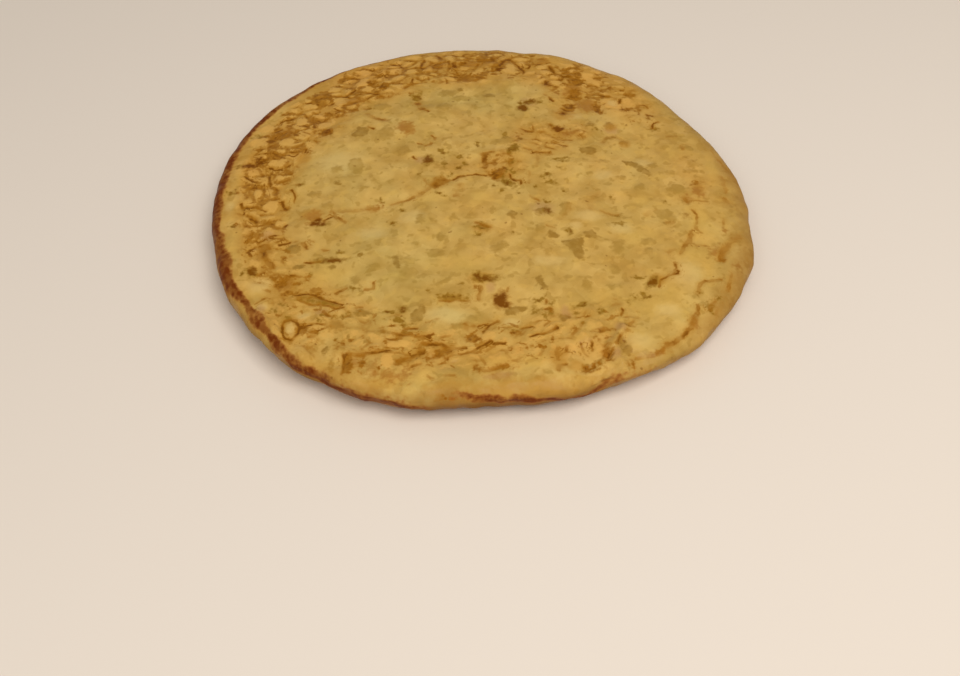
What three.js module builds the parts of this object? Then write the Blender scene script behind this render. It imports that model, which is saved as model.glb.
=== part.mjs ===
// A whole potato omelette, uncut, as it is turned out of a round frying pan: one solid.
// Millimetres, +Z up. The origin is on the flat underside, below the middle of the outline.
import * as THREE from 'three';
import { SimplexNoise } from 'three/addons/math/SimplexNoise.js';
import { mergeVertices } from 'three/addons/utils/BufferGeometryUtils.js';

const { clamp, degToRad, lerp, radToDeg, smoothstep } = THREE.MathUtils;

// Driving dimensions of the cross-section, from the crown out to the widest line and back under.
const MEAN_RADIUS = 125.8; // out to the widest line of the side
const HEIGHT = 21; // of the crown
const CROWN_DROP = 4; // fall of the top from the crown to the start of the shoulder
const WIDEST_LEVEL = 11.5; // height of the widest line
const TUCK = 15; // how far the side turns in below its widest line, as the pan's wall flares
const SHARP_SHOULDER = 4.5; // width of the shoulder where the pan's wall has set it
const BROAD_SHOULDER = 14.5; // width of the shoulder where it slumps
const SLUMP_AZIMUTH = 20; // where the shoulder is broadest
const SLUMP_POWER = 1.5; // how fast the shoulder sharpens away from there

// The outline leaves its circle in a few slow waves: waves in a turn, height, azimuth of a crest.
const OUTLINE_WAVES = [
  { count: 2, height: 3.3, crest: -44 },
  { count: 3, height: 1.3, crest: -23 },
  { count: 4, height: 2.1, crest: -35 },
];

// Pieces of potato push the rim out, and it falls in between them: azimuth, height, half width in degrees.
const RIM_SWELLS = [
  { azimuth: -142, height: -0.7, halfWidth: 6 },
  { azimuth: -129, height: 0.6, halfWidth: 6 },
  { azimuth: -104, height: 0.8, halfWidth: 6 },
  { azimuth: -89, height: -1, halfWidth: 6 },
  { azimuth: -73, height: 1.1, halfWidth: 4 },
  { azimuth: -55, height: 1.1, halfWidth: 6 },
  { azimuth: -44, height: 0.9, halfWidth: 5 },
  { azimuth: 4, height: 0.7, halfWidth: 10 },
  { azimuth: 30, height: -0.8, halfWidth: 6 },
  { azimuth: 42, height: 0.9, halfWidth: 5 },
  { azimuth: 54, height: -0.9, halfWidth: 5 },
  { azimuth: 64, height: 0.2, halfWidth: 6 },
  { azimuth: 77, height: -1.9, halfWidth: 7 },
  { azimuth: 120, height: -1, halfWidth: 7 },
  { azimuth: 139, height: -1.6, halfWidth: 9 },
  { azimuth: 152, height: -0.9, halfWidth: 6 },
];

// Potato under the egg lifts the skin in lumps of two sizes: span across, height.
const LUMPS = [
  { span: 36, height: 0.7 },
  { span: 15, height: 0.5 },
];
const BASE_FADE = 5; // the lumps die out over this height above the flat underside

// Folds across the rim, running in from the side: azimuth, depth, half width, inner end.
const RIM_FOLDS = [
  { azimuth: -68, depth: 1.2, halfWidth: 4, innerRadius: 106 },
  { azimuth: -58, depth: 1, halfWidth: 3.5, innerRadius: 104 },
  { azimuth: -121, depth: 1, halfWidth: 4, innerRadius: 112 },
  { azimuth: -148, depth: 0.8, halfWidth: 4, innerRadius: 114 },
];
const FOLD_START = 10; // a rim fold deepens over this length from its inner end

// Creases that follow the rim along the slumped shoulder: azimuths of the ends, radius, depth, half width.
const RIM_CREASES = [
  { from: -64, to: -38, radius: 125, depth: 1, halfWidth: 3.5 },
  { from: -34, to: 4, radius: 118, depth: 0.8, halfWidth: 3.5 },
];
const CREASE_END = 8; // degrees over which a crease fades at each end

// How the surface is shared out: equal triangles over the top, the rounded side and the underside.
const DETAIL = 19;
const TOP_SHARE = 0.66;
const SIDE_SHARE = 0.26;

const LUMP_SEED = 7;

const SKIN_COLOUR = '#c49a4a';

/** A repeatable stand-in for Math.random, as the noise generator asks for one. */
function seededRandom(seed) {
  const multiplier = 16807;
  const modulus = 2147483647;
  let state = seed;
  return {
    random() {
      state = (state * multiplier) % modulus;
      return state / modulus;
    },
  };
}

const noise = new SimplexNoise(seededRandom(LUMP_SEED));

/** Degrees from a named azimuth to one in radians, the short way round. */
function degreesFrom(degrees, azimuth) {
  const turned = azimuth - degToRad(degrees);
  return radToDeg(Math.atan2(Math.sin(turned), Math.cos(turned)));
}

/** A smooth rise of height 1, which falls to about a third at its half width. */
function bell(distance, halfWidth) {
  return Math.exp(-((distance / halfWidth) ** 2));
}

/** Radius of the widest line at an azimuth. */
function outlineRadius(azimuth) {
  let radius = MEAN_RADIUS;
  for (const wave of OUTLINE_WAVES) {
    radius += wave.height * Math.cos(wave.count * (azimuth - degToRad(wave.crest)));
  }
  for (const swell of RIM_SWELLS) {
    radius += swell.height * bell(degreesFrom(swell.azimuth, azimuth), swell.halfWidth);
  }
  return radius;
}

/** Width of the shoulder at an azimuth: broad where it slumps, and sharp on the far side from there. */
function shoulderWidth(azimuth) {
  const slump = (1 + Math.cos(azimuth - degToRad(SLUMP_AZIMUTH))) / 2;
  return lerp(SHARP_SHOULDER, BROAD_SHOULDER, slump ** SLUMP_POWER);
}

/**
 * Point of the smooth cross-section and its outward direction, as radius and height.
 * The share runs from 0 at the crown to 1 at the middle of the underside.
 */
function sectionAt(azimuth, share) {
  const radius = outlineRadius(azimuth);
  const shoulder = shoulderWidth(azimuth);
  const topRadius = radius - shoulder;
  const baseRadius = radius - TUCK;
  const shoulderLevel = HEIGHT - CROWN_DROP;

  if (share <= TOP_SHARE) {
    const across = Math.sqrt(share / TOP_SHARE);
    return {
      point: new THREE.Vector2(topRadius * across, HEIGHT - CROWN_DROP * across ** 2),
      outward: new THREE.Vector2(0, 1),
    };
  }
  if (share >= TOP_SHARE + SIDE_SHARE) {
    const across = Math.sqrt((1 - share) / (1 - TOP_SHARE - SIDE_SHARE));
    return {
      point: new THREE.Vector2(baseRadius * across, 0),
      outward: new THREE.Vector2(0, -1),
    };
  }

  // Two quarter ellipses, one above the widest line and one below it.
  const turn = ((share - TOP_SHARE) / SIDE_SHARE) * Math.PI;
  const sideways = Math.sin(turn);
  const upwards = Math.cos(turn);
  const isAbove = turn < Math.PI / 2;
  const reach = isAbove ? shoulder : TUCK;
  const rise = isAbove ? shoulderLevel - WIDEST_LEVEL : WIDEST_LEVEL;
  return {
    point: new THREE.Vector2(radius - reach + reach * sideways, WIDEST_LEVEL + rise * upwards),
    outward: new THREE.Vector2(sideways / reach, upwards / rise).normalize(),
  };
}

/** Height of the potato lumps at a point of the smooth surface. */
function lumpHeight({ x, y, z }) {
  return LUMPS.reduce(
    (sum, { span, height }) => sum + height * noise.noise3d(x / span, y / span, z / span),
    0,
  );
}

/** Depth of the folds and creases of the rim at an azimuth and a radius. */
function foldDepth(azimuth, radius) {
  let depth = 0;
  for (const fold of RIM_FOLDS) {
    const across = radius * degToRad(degreesFrom(fold.azimuth, azimuth));
    const along = smoothstep(radius, fold.innerRadius, fold.innerRadius + FOLD_START);
    depth += fold.depth * along * bell(across, fold.halfWidth);
  }
  const degrees = radToDeg(azimuth);
  for (const crease of RIM_CREASES) {
    const start = smoothstep(degrees, crease.from, crease.from + CREASE_END);
    const end = 1 - smoothstep(degrees, crease.to - CREASE_END, crease.to);
    depth += crease.depth * start * end * bell(radius - crease.radius, crease.halfWidth);
  }
  return depth;
}

/** Point of the omelette's skin in a direction of the unit sphere. */
function skinPoint(direction) {
  const azimuth = Math.atan2(direction.y, direction.x);
  const share = (1 - direction.z) / 2;
  const { point, outward } = sectionAt(azimuth, clamp(share, 0, 1));
  const smooth = new THREE.Vector3(point.x * Math.cos(azimuth), point.x * Math.sin(azimuth), point.y);
  const lift = lumpHeight(smooth) - foldDepth(azimuth, point.x);
  const fade = smoothstep(point.y, 0, BASE_FADE);
  const normal = new THREE.Vector3(outward.x * Math.cos(azimuth), outward.x * Math.sin(azimuth), outward.y);
  return smooth.addScaledVector(normal, lift * fade);
}

/** The closed skin: a sphere of even triangles drawn out to the omelette's form. */
function omeletteGeometry() {
  const sphere = new THREE.IcosahedronGeometry(1, DETAIL);
  sphere.deleteAttribute('normal');
  sphere.deleteAttribute('uv');
  const skin = mergeVertices(sphere);
  const positions = skin.getAttribute('position');
  const direction = new THREE.Vector3();
  for (let i = 0; i < positions.count; i++) {
    direction.fromBufferAttribute(positions, i).normalize();
    positions.setXYZ(i, ...skinPoint(direction));
  }
  skin.computeBoundingBox();
  const middle = skin.boundingBox.getCenter(new THREE.Vector3());
  skin.translate(-middle.x, -middle.y, 0);
  skin.computeVertexNormals();
  return skin;
}

const omelette = new THREE.Mesh(
  omeletteGeometry(),
  new THREE.MeshStandardMaterial({ color: SKIN_COLOUR, roughness: 0.5, metalness: 0 }),
);
omelette.name = 'tortilla';

const part = new THREE.Group();
part.add(omelette);

export default part;
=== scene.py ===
# %% [markdown]
# # A whole potato omelette
#
# The real thing is egg and sliced potato set in a round frying pan, turned over once and slid out whole.
# It is one solid, so this lesson makes one piece. The packed model holds its size and its main forms: the
# wavy outline, the sharp and the slumped shoulder, the low lumps and the folds of the rim. What is left
# to do here is the skin, with its fine relief, its browning and the potato that shows through.
#
# The omelette's lengths are written in millimetres, as a cook would measure them, and `MM` turns them
# into Blender's metres. The floor and the lamps are given in metres, and angles in degrees.

# %% Load the packed model
import math

import bmesh
import bpy
import numpy as np
from mathutils import Color, Matrix, Vector, noise


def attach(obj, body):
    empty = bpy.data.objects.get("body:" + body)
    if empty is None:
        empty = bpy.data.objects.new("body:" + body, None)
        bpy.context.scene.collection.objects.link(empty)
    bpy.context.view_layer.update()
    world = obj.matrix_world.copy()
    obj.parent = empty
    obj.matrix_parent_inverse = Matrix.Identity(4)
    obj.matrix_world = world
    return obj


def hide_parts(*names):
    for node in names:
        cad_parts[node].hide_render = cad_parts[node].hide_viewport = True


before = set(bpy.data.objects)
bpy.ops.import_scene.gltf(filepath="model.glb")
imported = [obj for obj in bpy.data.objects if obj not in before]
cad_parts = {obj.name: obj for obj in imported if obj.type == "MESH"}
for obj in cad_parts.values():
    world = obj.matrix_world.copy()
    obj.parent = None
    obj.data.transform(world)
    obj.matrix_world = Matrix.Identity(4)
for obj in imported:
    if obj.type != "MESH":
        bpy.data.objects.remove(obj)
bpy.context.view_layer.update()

MM = 0.001
scene = bpy.context.scene
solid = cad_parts["tortilla"]


# %% [markdown]
# ## Camera
#
# The omelette is seen from in front and from well above. A new camera looks straight down, so its place
# comes from three turns: a turn about the upright, a tilt up from straight down, and a roll about its own
# line of sight. Written as a product of matrices, the order of the turns is plain, which a set of
# rotation angles would hide.

# %% Camera
EYE = Vector((-0.9, -433.8, 380.8)) * MM
TURN = 0.1
TILT = 43.1
ROLL = -2.8
LENS = 44.96


def new_object(name, data):
    """An object for a mesh, a camera or a lamp, linked to the scene at the origin."""
    made = bpy.data.objects.new(name, data)
    scene.collection.objects.link(made)
    return made


lens = bpy.data.cameras.new("camera")
lens.lens = LENS
aimed = Matrix.Translation(EYE)
for angle, axis in ((TURN, "Z"), (TILT, "X"), (ROLL, "Z")):
    aimed = aimed @ Matrix.Rotation(math.radians(angle), 4, axis)
camera = new_object("camera", lens)
camera.matrix_world = aimed
scene.camera = camera
print("camera: looks", 90 - TILT, "degrees below the horizon from", round(EYE.length, 3), "m")

# %% [markdown]
# ## Floor and light
#
# The floor is plain and pale, a wide disc that runs past the picture on every side. The light is that of
# a small studio: one large soft lamp overhead, a weaker one in front to open up the shaded side, and an
# even glow from all round. The Standard view transform shows a colour as it was mixed, so colours can be
# matched.

# %% Floor
FLOOR_RADIUS = 4.0
FLOOR_DROP = 0.1 * MM
FLOOR_SEGMENTS = 96
FLOOR_ROUGHNESS = 0.8


def colour(red, green, blue):
    """A colour as an eye or a picture gives it, from 0 to 255, as the linear RGBA that a socket takes."""
    seen = Color((red / 255, green / 255, blue / 255))
    return (*seen.from_srgb_to_scene_linear(), 1.0)


bm = bmesh.new()
bmesh.ops.create_circle(bm, cap_ends=True, segments=FLOOR_SEGMENTS, radius=FLOOR_RADIUS)
bmesh.ops.translate(bm, verts=bm.verts, vec=(0, 0, -FLOOR_DROP))
floor_mesh = bpy.data.meshes.new("floor")
bm.to_mesh(floor_mesh)
bm.free()
floor_paint = bpy.data.materials.new("pale floor")
floor_paint.use_nodes = True
floor_shader = floor_paint.node_tree.nodes["Principled BSDF"]
floor_shader.inputs["Base Color"].default_value = colour(228, 214, 198)
floor_shader.inputs["Roughness"].default_value = FLOOR_ROUGHNESS
floor_mesh.materials.append(floor_paint)
floor = new_object("floor", floor_mesh)
print("floor: a disc", 2 * FLOOR_RADIUS, "m across")

# %% Light
GLOW = 0.36
GLOW_TONE = (1.0, 0.97, 0.93, 1.0)
LAMPS = {
    "overhead lamp": {"at": (0.38, -0.54, 1.18), "side": 0.9, "watts": 11.7},
    "front lamp": {"at": (-0.35, -1.15, 1.05), "side": 0.9, "watts": 5.2},
}

scene.view_settings.view_transform = "Standard"
scene.world = bpy.data.worlds.new("glow")
scene.world.use_nodes = True
background = scene.world.node_tree.nodes["Background"]
background.inputs["Color"].default_value = GLOW_TONE
background.inputs["Strength"].default_value = GLOW
for name, lamp in LAMPS.items():
    light = bpy.data.lights.new(name, "AREA")
    light.size = lamp["side"]
    light.energy = lamp["watts"]
    aim = -Vector(lamp["at"])
    turned = aim.to_track_quat("-Z", "Y").to_matrix().to_4x4()
    new_object(name, light).matrix_world = Matrix.Translation(lamp["at"]) @ turned
print("light:", ", ".join(LAMPS), "and an even glow of", GLOW)

# %% [markdown]
# ## A finer skin
#
# The solid's triangles are about 4 mm wide, too coarse for flakes and creases a millimetre or two across.
# Sculpting by hand could add them, but a script has to give the same skin each time. So a copy of the
# solid is merged, as the packed one is loose triangles, and a Subdivision Surface splits each triangle
# into twelve smooth faces. Its result becomes the mesh to work on, because the relief that follows needs
# the real points.

# %% Copy, merge and subdivide
MERGE = 0.001 * MM
SUBDIVISIONS = 2

bm = bmesh.new()
bm.from_mesh(solid.data)
bmesh.ops.remove_doubles(bm, verts=bm.verts, dist=MERGE)
cage_mesh = bpy.data.meshes.new("cage")
bm.to_mesh(cage_mesh)
bm.free()
cage = new_object("cage", cage_mesh)
finer = cage.modifiers.new("finer", "SUBSURF")
finer.levels = finer.render_levels = SUBDIVISIONS
evaluated = cage.evaluated_get(bpy.context.evaluated_depsgraph_get())
skin = bpy.data.meshes.new_from_object(evaluated)
bpy.data.objects.remove(cage)
bpy.data.meshes.remove(cage_mesh)
skin.name = "omelette"
print("skin:", len(skin.vertices), "points,", len(skin.polygons), "faces")

# %% Read its points
points = np.empty((len(skin.vertices), 3))
skin.vertices.foreach_get("co", points.ravel())
points /= MM
facing = np.empty_like(points)
skin.vertex_normals.foreach_get("vector", facing.ravel())
x, y, z = points.T
up = facing[:, 2]
across = np.hypot(x, y)
azimuth = np.degrees(np.arctan2(y, x))
print("points: up to", round(float(across.max()), 1), "mm out and", round(float(z.max()), 1), "mm up")

# %% [markdown]
# ## Noise to break things up
#
# Nothing on food is regular, so nearly every step below leans on noise. Blender's own noise functions are
# fixed, with no seed to forget, and each `layer` reads them at another place, which gives a fresh draw.
# The first four draws make the marks wander: a mark is looked up at a point that is pushed aside a
# little, so that its edge turns ragged.

# %% Noise helpers
LAYER_SHIFT = np.array((17.3, 5.1, 9.7))
WANDER = 0.8
FINE_WANDER = 0.4


def lumps(span, layer, stretch=(1, 1, 1)):
    """Smooth noise of about -1 to 1 at each point of the skin, with lumps about `span` mm wide."""
    places = points / (span * np.array(stretch)) + layer * LAYER_SHIFT
    return np.array([noise.noise(Vector(place)) for place in places])


def ramp(low, high, values):
    """A smooth step from 0 at low to 1 at high."""
    share = np.clip((values - low) / (high - low), 0, 1)
    return share * share * (3 - 2 * share)


mark_x = x + WANDER * lumps(5, 1) + FINE_WANDER * lumps(2.2, 2)
mark_y = y + WANDER * lumps(5, 3) + FINE_WANDER * lumps(2.2, 4)
print("marks wander by up to", round(float(np.abs(mark_x - x).max()), 2), "mm")

# %% [markdown]
# ## Marks as distances
#
# A brown spot could be painted into an image, but a distance keeps sharper than pixels do. Each spot is
# an oval, and a function gives every point's distance to its edge, negative inside. All spots of one kind
# then share one field, which is 0.5 on their edges. The field is kept on the skin's points, and the
# material cuts it off near 0.5. A patch with no clear edge is an oval too, but its field falls away from
# the middle in the shape of a bell. Either is written as X and Y of its middle, its width and depth, and
# a turn where it has one, from the omelette's middle with +Y to the back.

# %% Spots
REACH = 3.0  # mm on each side of an edge over which a field changes
SEEN_FROM_ABOVE = (0.05, 0.3)

on_top = ramp(*SEEN_FROM_ABOVE, up)


def to_spot(middle_x, middle_y, wide, deep, turn=0.0):
    """Distance in mm to the edge of an oval, wide along X and deep along Y before its turn."""
    cosine = math.cos(math.radians(turn))
    sine = math.sin(math.radians(turn))
    right = mark_x - middle_x
    back = mark_y - middle_y
    along = (right * cosine + back * sine) / (wide / 2)
    aside = (back * cosine - right * sine) / (deep / 2)
    return (np.hypot(along, aside) - 1) * min(wide, deep) / 2


def field(*distances):
    """One field for marks of a kind: 0.5 on an edge, 1 a reach inside it and 0 a reach outside."""
    return np.clip(0.5 - np.minimum.reduce(distances) / (2 * REACH), 0, 1)


def spots_of(ovals):
    """All spots of a list as one field."""
    return field(*[to_spot(*oval) for oval in ovals]) * on_top


print("top:", round(100 * float((on_top > 0.5).mean())), "% of the points can carry a mark")

# %% Patches
def cloud(middle_x, middle_y, wide, deep, turn=0.0):
    """A patch with no clear edge: 1 at its middle, about a third at the edge of its oval."""
    steps_out = 1 + to_spot(middle_x, middle_y, wide, deep, turn) / (min(wide, deep) / 2)
    return np.exp(-(steps_out**2))


def clouds_of(patches):
    """All patches of a list as one field."""
    return np.maximum.reduce([cloud(*patch) for patch in patches]) * on_top


print("a patch has", round(math.exp(-1), 2), "of its strength at the edge of its oval")

# %% [markdown]
# ## Flakes
#
# Where the pan was hottest, in a ring inside the rim, the egg's skin set in small pale flakes with brown
# lines between them. The ring is strong at the left and the back, and all but gone at the right. A
# pattern of cells has just such flakes. Each point's distance to the border of its cell is worked out
# from the two nearest cell middles, and noise decides where a border is a broad brown line, a thin one or
# none. The largest flakes are listed, as they show best.

# %% Where the skin flaked
RING_INNER = 87.0
INNER_BLUR = 7.0
INNER_WANDER = 5.0
OUTER_BLUR = 4.0
OUTER_WANDER = 3.0
PATCH_STRENGTH = 0.65
PATCH_EDGE = (0.2, 0.7)
FRONT_LOSS = 0.6
FRONT_START = (60, 85)  # mm to the front
MARGIN_STRENGTH = 0.7
MARGIN_START = (84, 98)
MARGIN_RIGHT = (50, 70)
MARGIN_LEFT = (130, 150)
RING = [
    # azimuth, strength, outer radius
    (-180, 1.0, 113), (-165, 0.9, 113), (-150, 0.7, 113), (-130, 0.6, 113), (-110, 0.6, 113),
    (-90, 0.5, 113), (-75, 0.65, 113), (-62, 0.6, 113), (-50, 0.3, 113), (-35, 0.12, 113), (0, 0.1, 113),
    (25, 0.15, 113), (35, 0.45, 116), (45, 0.8, 118), (60, 0.85, 118), (75, 0.75, 118), (90, 0.95, 118.5),
    (110, 0.9, 119), (130, 1.0, 119), (150, 1.0, 118), (165, 1.0, 114), (180, 1.0, 113),
]
FLAKY_PATCHES = [
    (52, 77, 30, 46, -15), (32, 35, 34, 30), (-82, 55, 40, 34), (14, 16, 26, 22), (47, 40, 26, 16),
    (0, -96, 76, 24), (-75, -80, 40, 34),
]

ring_azimuths, ring_strengths, ring_outers = np.array(RING).T
ring = np.interp(azimuth, ring_azimuths, ring_strengths)
past_inner = across - RING_INNER + INNER_WANDER * lumps(22, 8)
past_outer = across - np.interp(azimuth, ring_azimuths, ring_outers) + OUTER_WANDER * lumps(14, 9)
ring *= ramp(-INNER_BLUR, INNER_BLUR, past_inner)
ring *= 1 - ramp(-OUTER_BLUR, OUTER_BLUR, past_outer)
flaky = np.maximum(ring * on_top, PATCH_STRENGTH * ramp(*PATCH_EDGE, clouds_of(FLAKY_PATCHES)))

# The egg behind the flakes is tanned, less so at the front, and so is a margin along the back.
margin = ramp(*MARGIN_START, across) * ramp(*MARGIN_RIGHT, azimuth) * (1 - ramp(*MARGIN_LEFT, azimuth))
behind_flakes = flaky * (1 - FRONT_LOSS * ramp(*FRONT_START, -y))
ground = np.maximum(behind_flakes, MARGIN_STRENGTH * margin * on_top)
print("flakes: over", round(100 * float((flaky > 0.3).mean())), "% of the skin")

# %% Borders between flakes
FLAKE_SPAN = 6.8
FLAKE_STRETCH = np.array((1.2, 0.85, 1.0))
FLAKE_BEND = 1.4


def flake_borders(span):
    """Distance in mm to the nearest border between flakes, which side of it, and how level it runs."""
    found = np.empty((len(points), 3))
    pushed = points + FLAKE_BEND * np.stack((lumps(6, 5), lumps(6, 6), lumps(6, 7)), axis=1)
    for index, place in enumerate(pushed / (span * FLAKE_STRETCH)):
        spot = Vector(place)
        _, (own, other, _, _) = noise.voronoi(spot)
        outward = (other - own).normalized()
        off = max(((own + other) / 2 - spot).dot(outward), 0) * span
        found[index] = off, 1 if own.x < other.x else -1, abs(outward.y)
    return found.T


border, side, level_run = flake_borders(FLAKE_SPAN)
print("borders: a point lies", round(float(border.mean()), 1), "mm from one on average")

# %% Large flakes
FLAKE_EDGE = (0.6, 1.8)  # mm from a border over which a flake begins
LARGE_EDGE = (0.4, 0.62)
LARGE_FLAKES = [
    (-93.5, 58, 5, 8), (-86, 61, 6, 8), (-74.5, 55.5, 7, 6), (-84.5, 48, 7, 5), (-92, 43.5, 8, 6),
    (-67, 76, 8, 8), (-62.5, 79.5, 5, 2.5), (-71, 86, 6, 3), (-104, 57, 8, 6), (-106, 46, 10, 8),
    (-56, 91, 8, 5), (-53, 85, 5, 3), (-44, 90, 5, 4), (-97, 28, 6, 4), (-86, 29.5, 3, 3),
    (-105, 23, 4, 6), (-107, 16, 7, 4, -35), (-98.5, 13, 4, 5), (-103, 6, 4, 6), (-97.5, 6, 4, 4),
    (-108, -0.5, 5, 4), (-96, -4.5, 7, 5), (-104.5, -16.5, 4, 2.5), (-97, -12.5, 8, 2), (-90, -16, 5, 3),
    (-101, -35, 4, 4), (-23.5, 106, 4, 5), (-18.5, 109, 4, 4), (21, 99, 5, 11), (27.5, 103.5, 3, 3),
    (5, 98.5, 4, 5), (-3, 100.5, 5, 4), (8.5, 102, 3, 4), (71, 62, 9, 8), (62, 86, 4, 5), (47, 80, 5, 5),
    (-88, -81, 4, 8), (-66, -68.5, 6, 3), (-36, -95.5, 12, 4), (-22, -101, 5, 4), (-40, -105, 6, 7),
    (2, -94, 6, 5), (23, -96, 6, 3),
]
large = spots_of(LARGE_FLAKES)
flake = np.maximum(flaky * ramp(*FLAKE_EDGE, border), ramp(*LARGE_EDGE, large))
print("large flakes:", len(LARGE_FLAKES))

# %% Brown lines between flakes
LINE_RANGE = (1.2, 2.4)  # mm beside a line over which its strength dies away
FAR = 5.0  # half widths from a line past which it doesn't matter
HALF_LINE = (0.15, 1.0)  # mm, for the thinnest and the widest line
CLEAR_EDGE = (0.42, 0.6)

# A large flake is clear of lines. Elsewhere level borders are the widest and darkest, and noise thins
# or breaks them.
clear = 1 - ramp(*CLEAR_EDGE, large)
half_line = np.clip(0.3 + 0.35 * level_run + 0.35 * lumps(6, 10), *HALF_LINE)
lace_reach = np.clip(side * border / half_line, -FAR, FAR)
lace_strength = flaky * clear * ramp(-0.3, 0.3, lumps(8, 11) + 0.6 * (flaky - 0.6))
lace_strength *= 0.35 + 0.65 * level_run
lace_strength *= 1 - ramp(half_line + LINE_RANGE[0], half_line + LINE_RANGE[1], border)
lace_strength *= 0.3 + ramp(-0.25, 0.25, lumps(3.4, 29))

# Where the flakes are thickest, the lines run together into broad brown patches.
broad = 3.4 * flaky - 2.8 + 2.8 * lumps(11, 12) + 1.2 * lumps(3.6, 13)
brown = np.minimum(field(border - broad), clear)
print("lace: broad and brown over", round(100 * float((brown > 0.5).mean()), 1), "% of the skin")

# %% [markdown]
# ## Browning, spot by spot
#
# The omelette in the picture has its own face of marks, and these are listed one by one. Scorches are the
# darkest, where egg caught on the pan. Toasted spots are lighter, and smudges are only a shade browner
# than the egg. On the open egg the browning looks olive, but in the ring, along the front and in some
# places more it is a warm brown.
# A few toasted spots and smudges at the front right are painted shade in the pits of a fold.

# %% Scorches
SCORCHES = [
    # back
    (-72.5, 49.5, 3, 3), (-108.5, 28, 11, 2.8), (-104, 29.5, 5, 2.6), (-105, 32.5, 3.5, 2.5),
    (25.5, 61, 5.5, 5.5), (38.5, 82.5, 3, 4), (45, 55.5, 3.5, 3), (42, 42.5, 6, 3.5),
    (-8.5, 103.5, 3.5, 4.5), (15.5, 98, 3.5, 3),
    # middle and left
    (-22.5, 21, 3.8, 7), (31.8, -19, 2.4, 3.4), (-74.5, -19, 5, 3.4), (-71, -20.3, 5, 2.8),
    (-73, -17, 3.5, 3), (-101, -47.5, 3.5, 5),
    # front
    (-66, -44.2, 9, 2.6), (8, -74, 5.5, 9, -8), (10.5, -76.5, 3, 3), (2.5, -61, 8, 3.2),
    (-1.5, -58.5, 2.4, 3.6), (73.5, -66.5, 3, 6, -35), (-34, -76.6, 3, 2.4),
]
scorch = spots_of(SCORCHES)
print("scorches:", len(SCORCHES))

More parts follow.
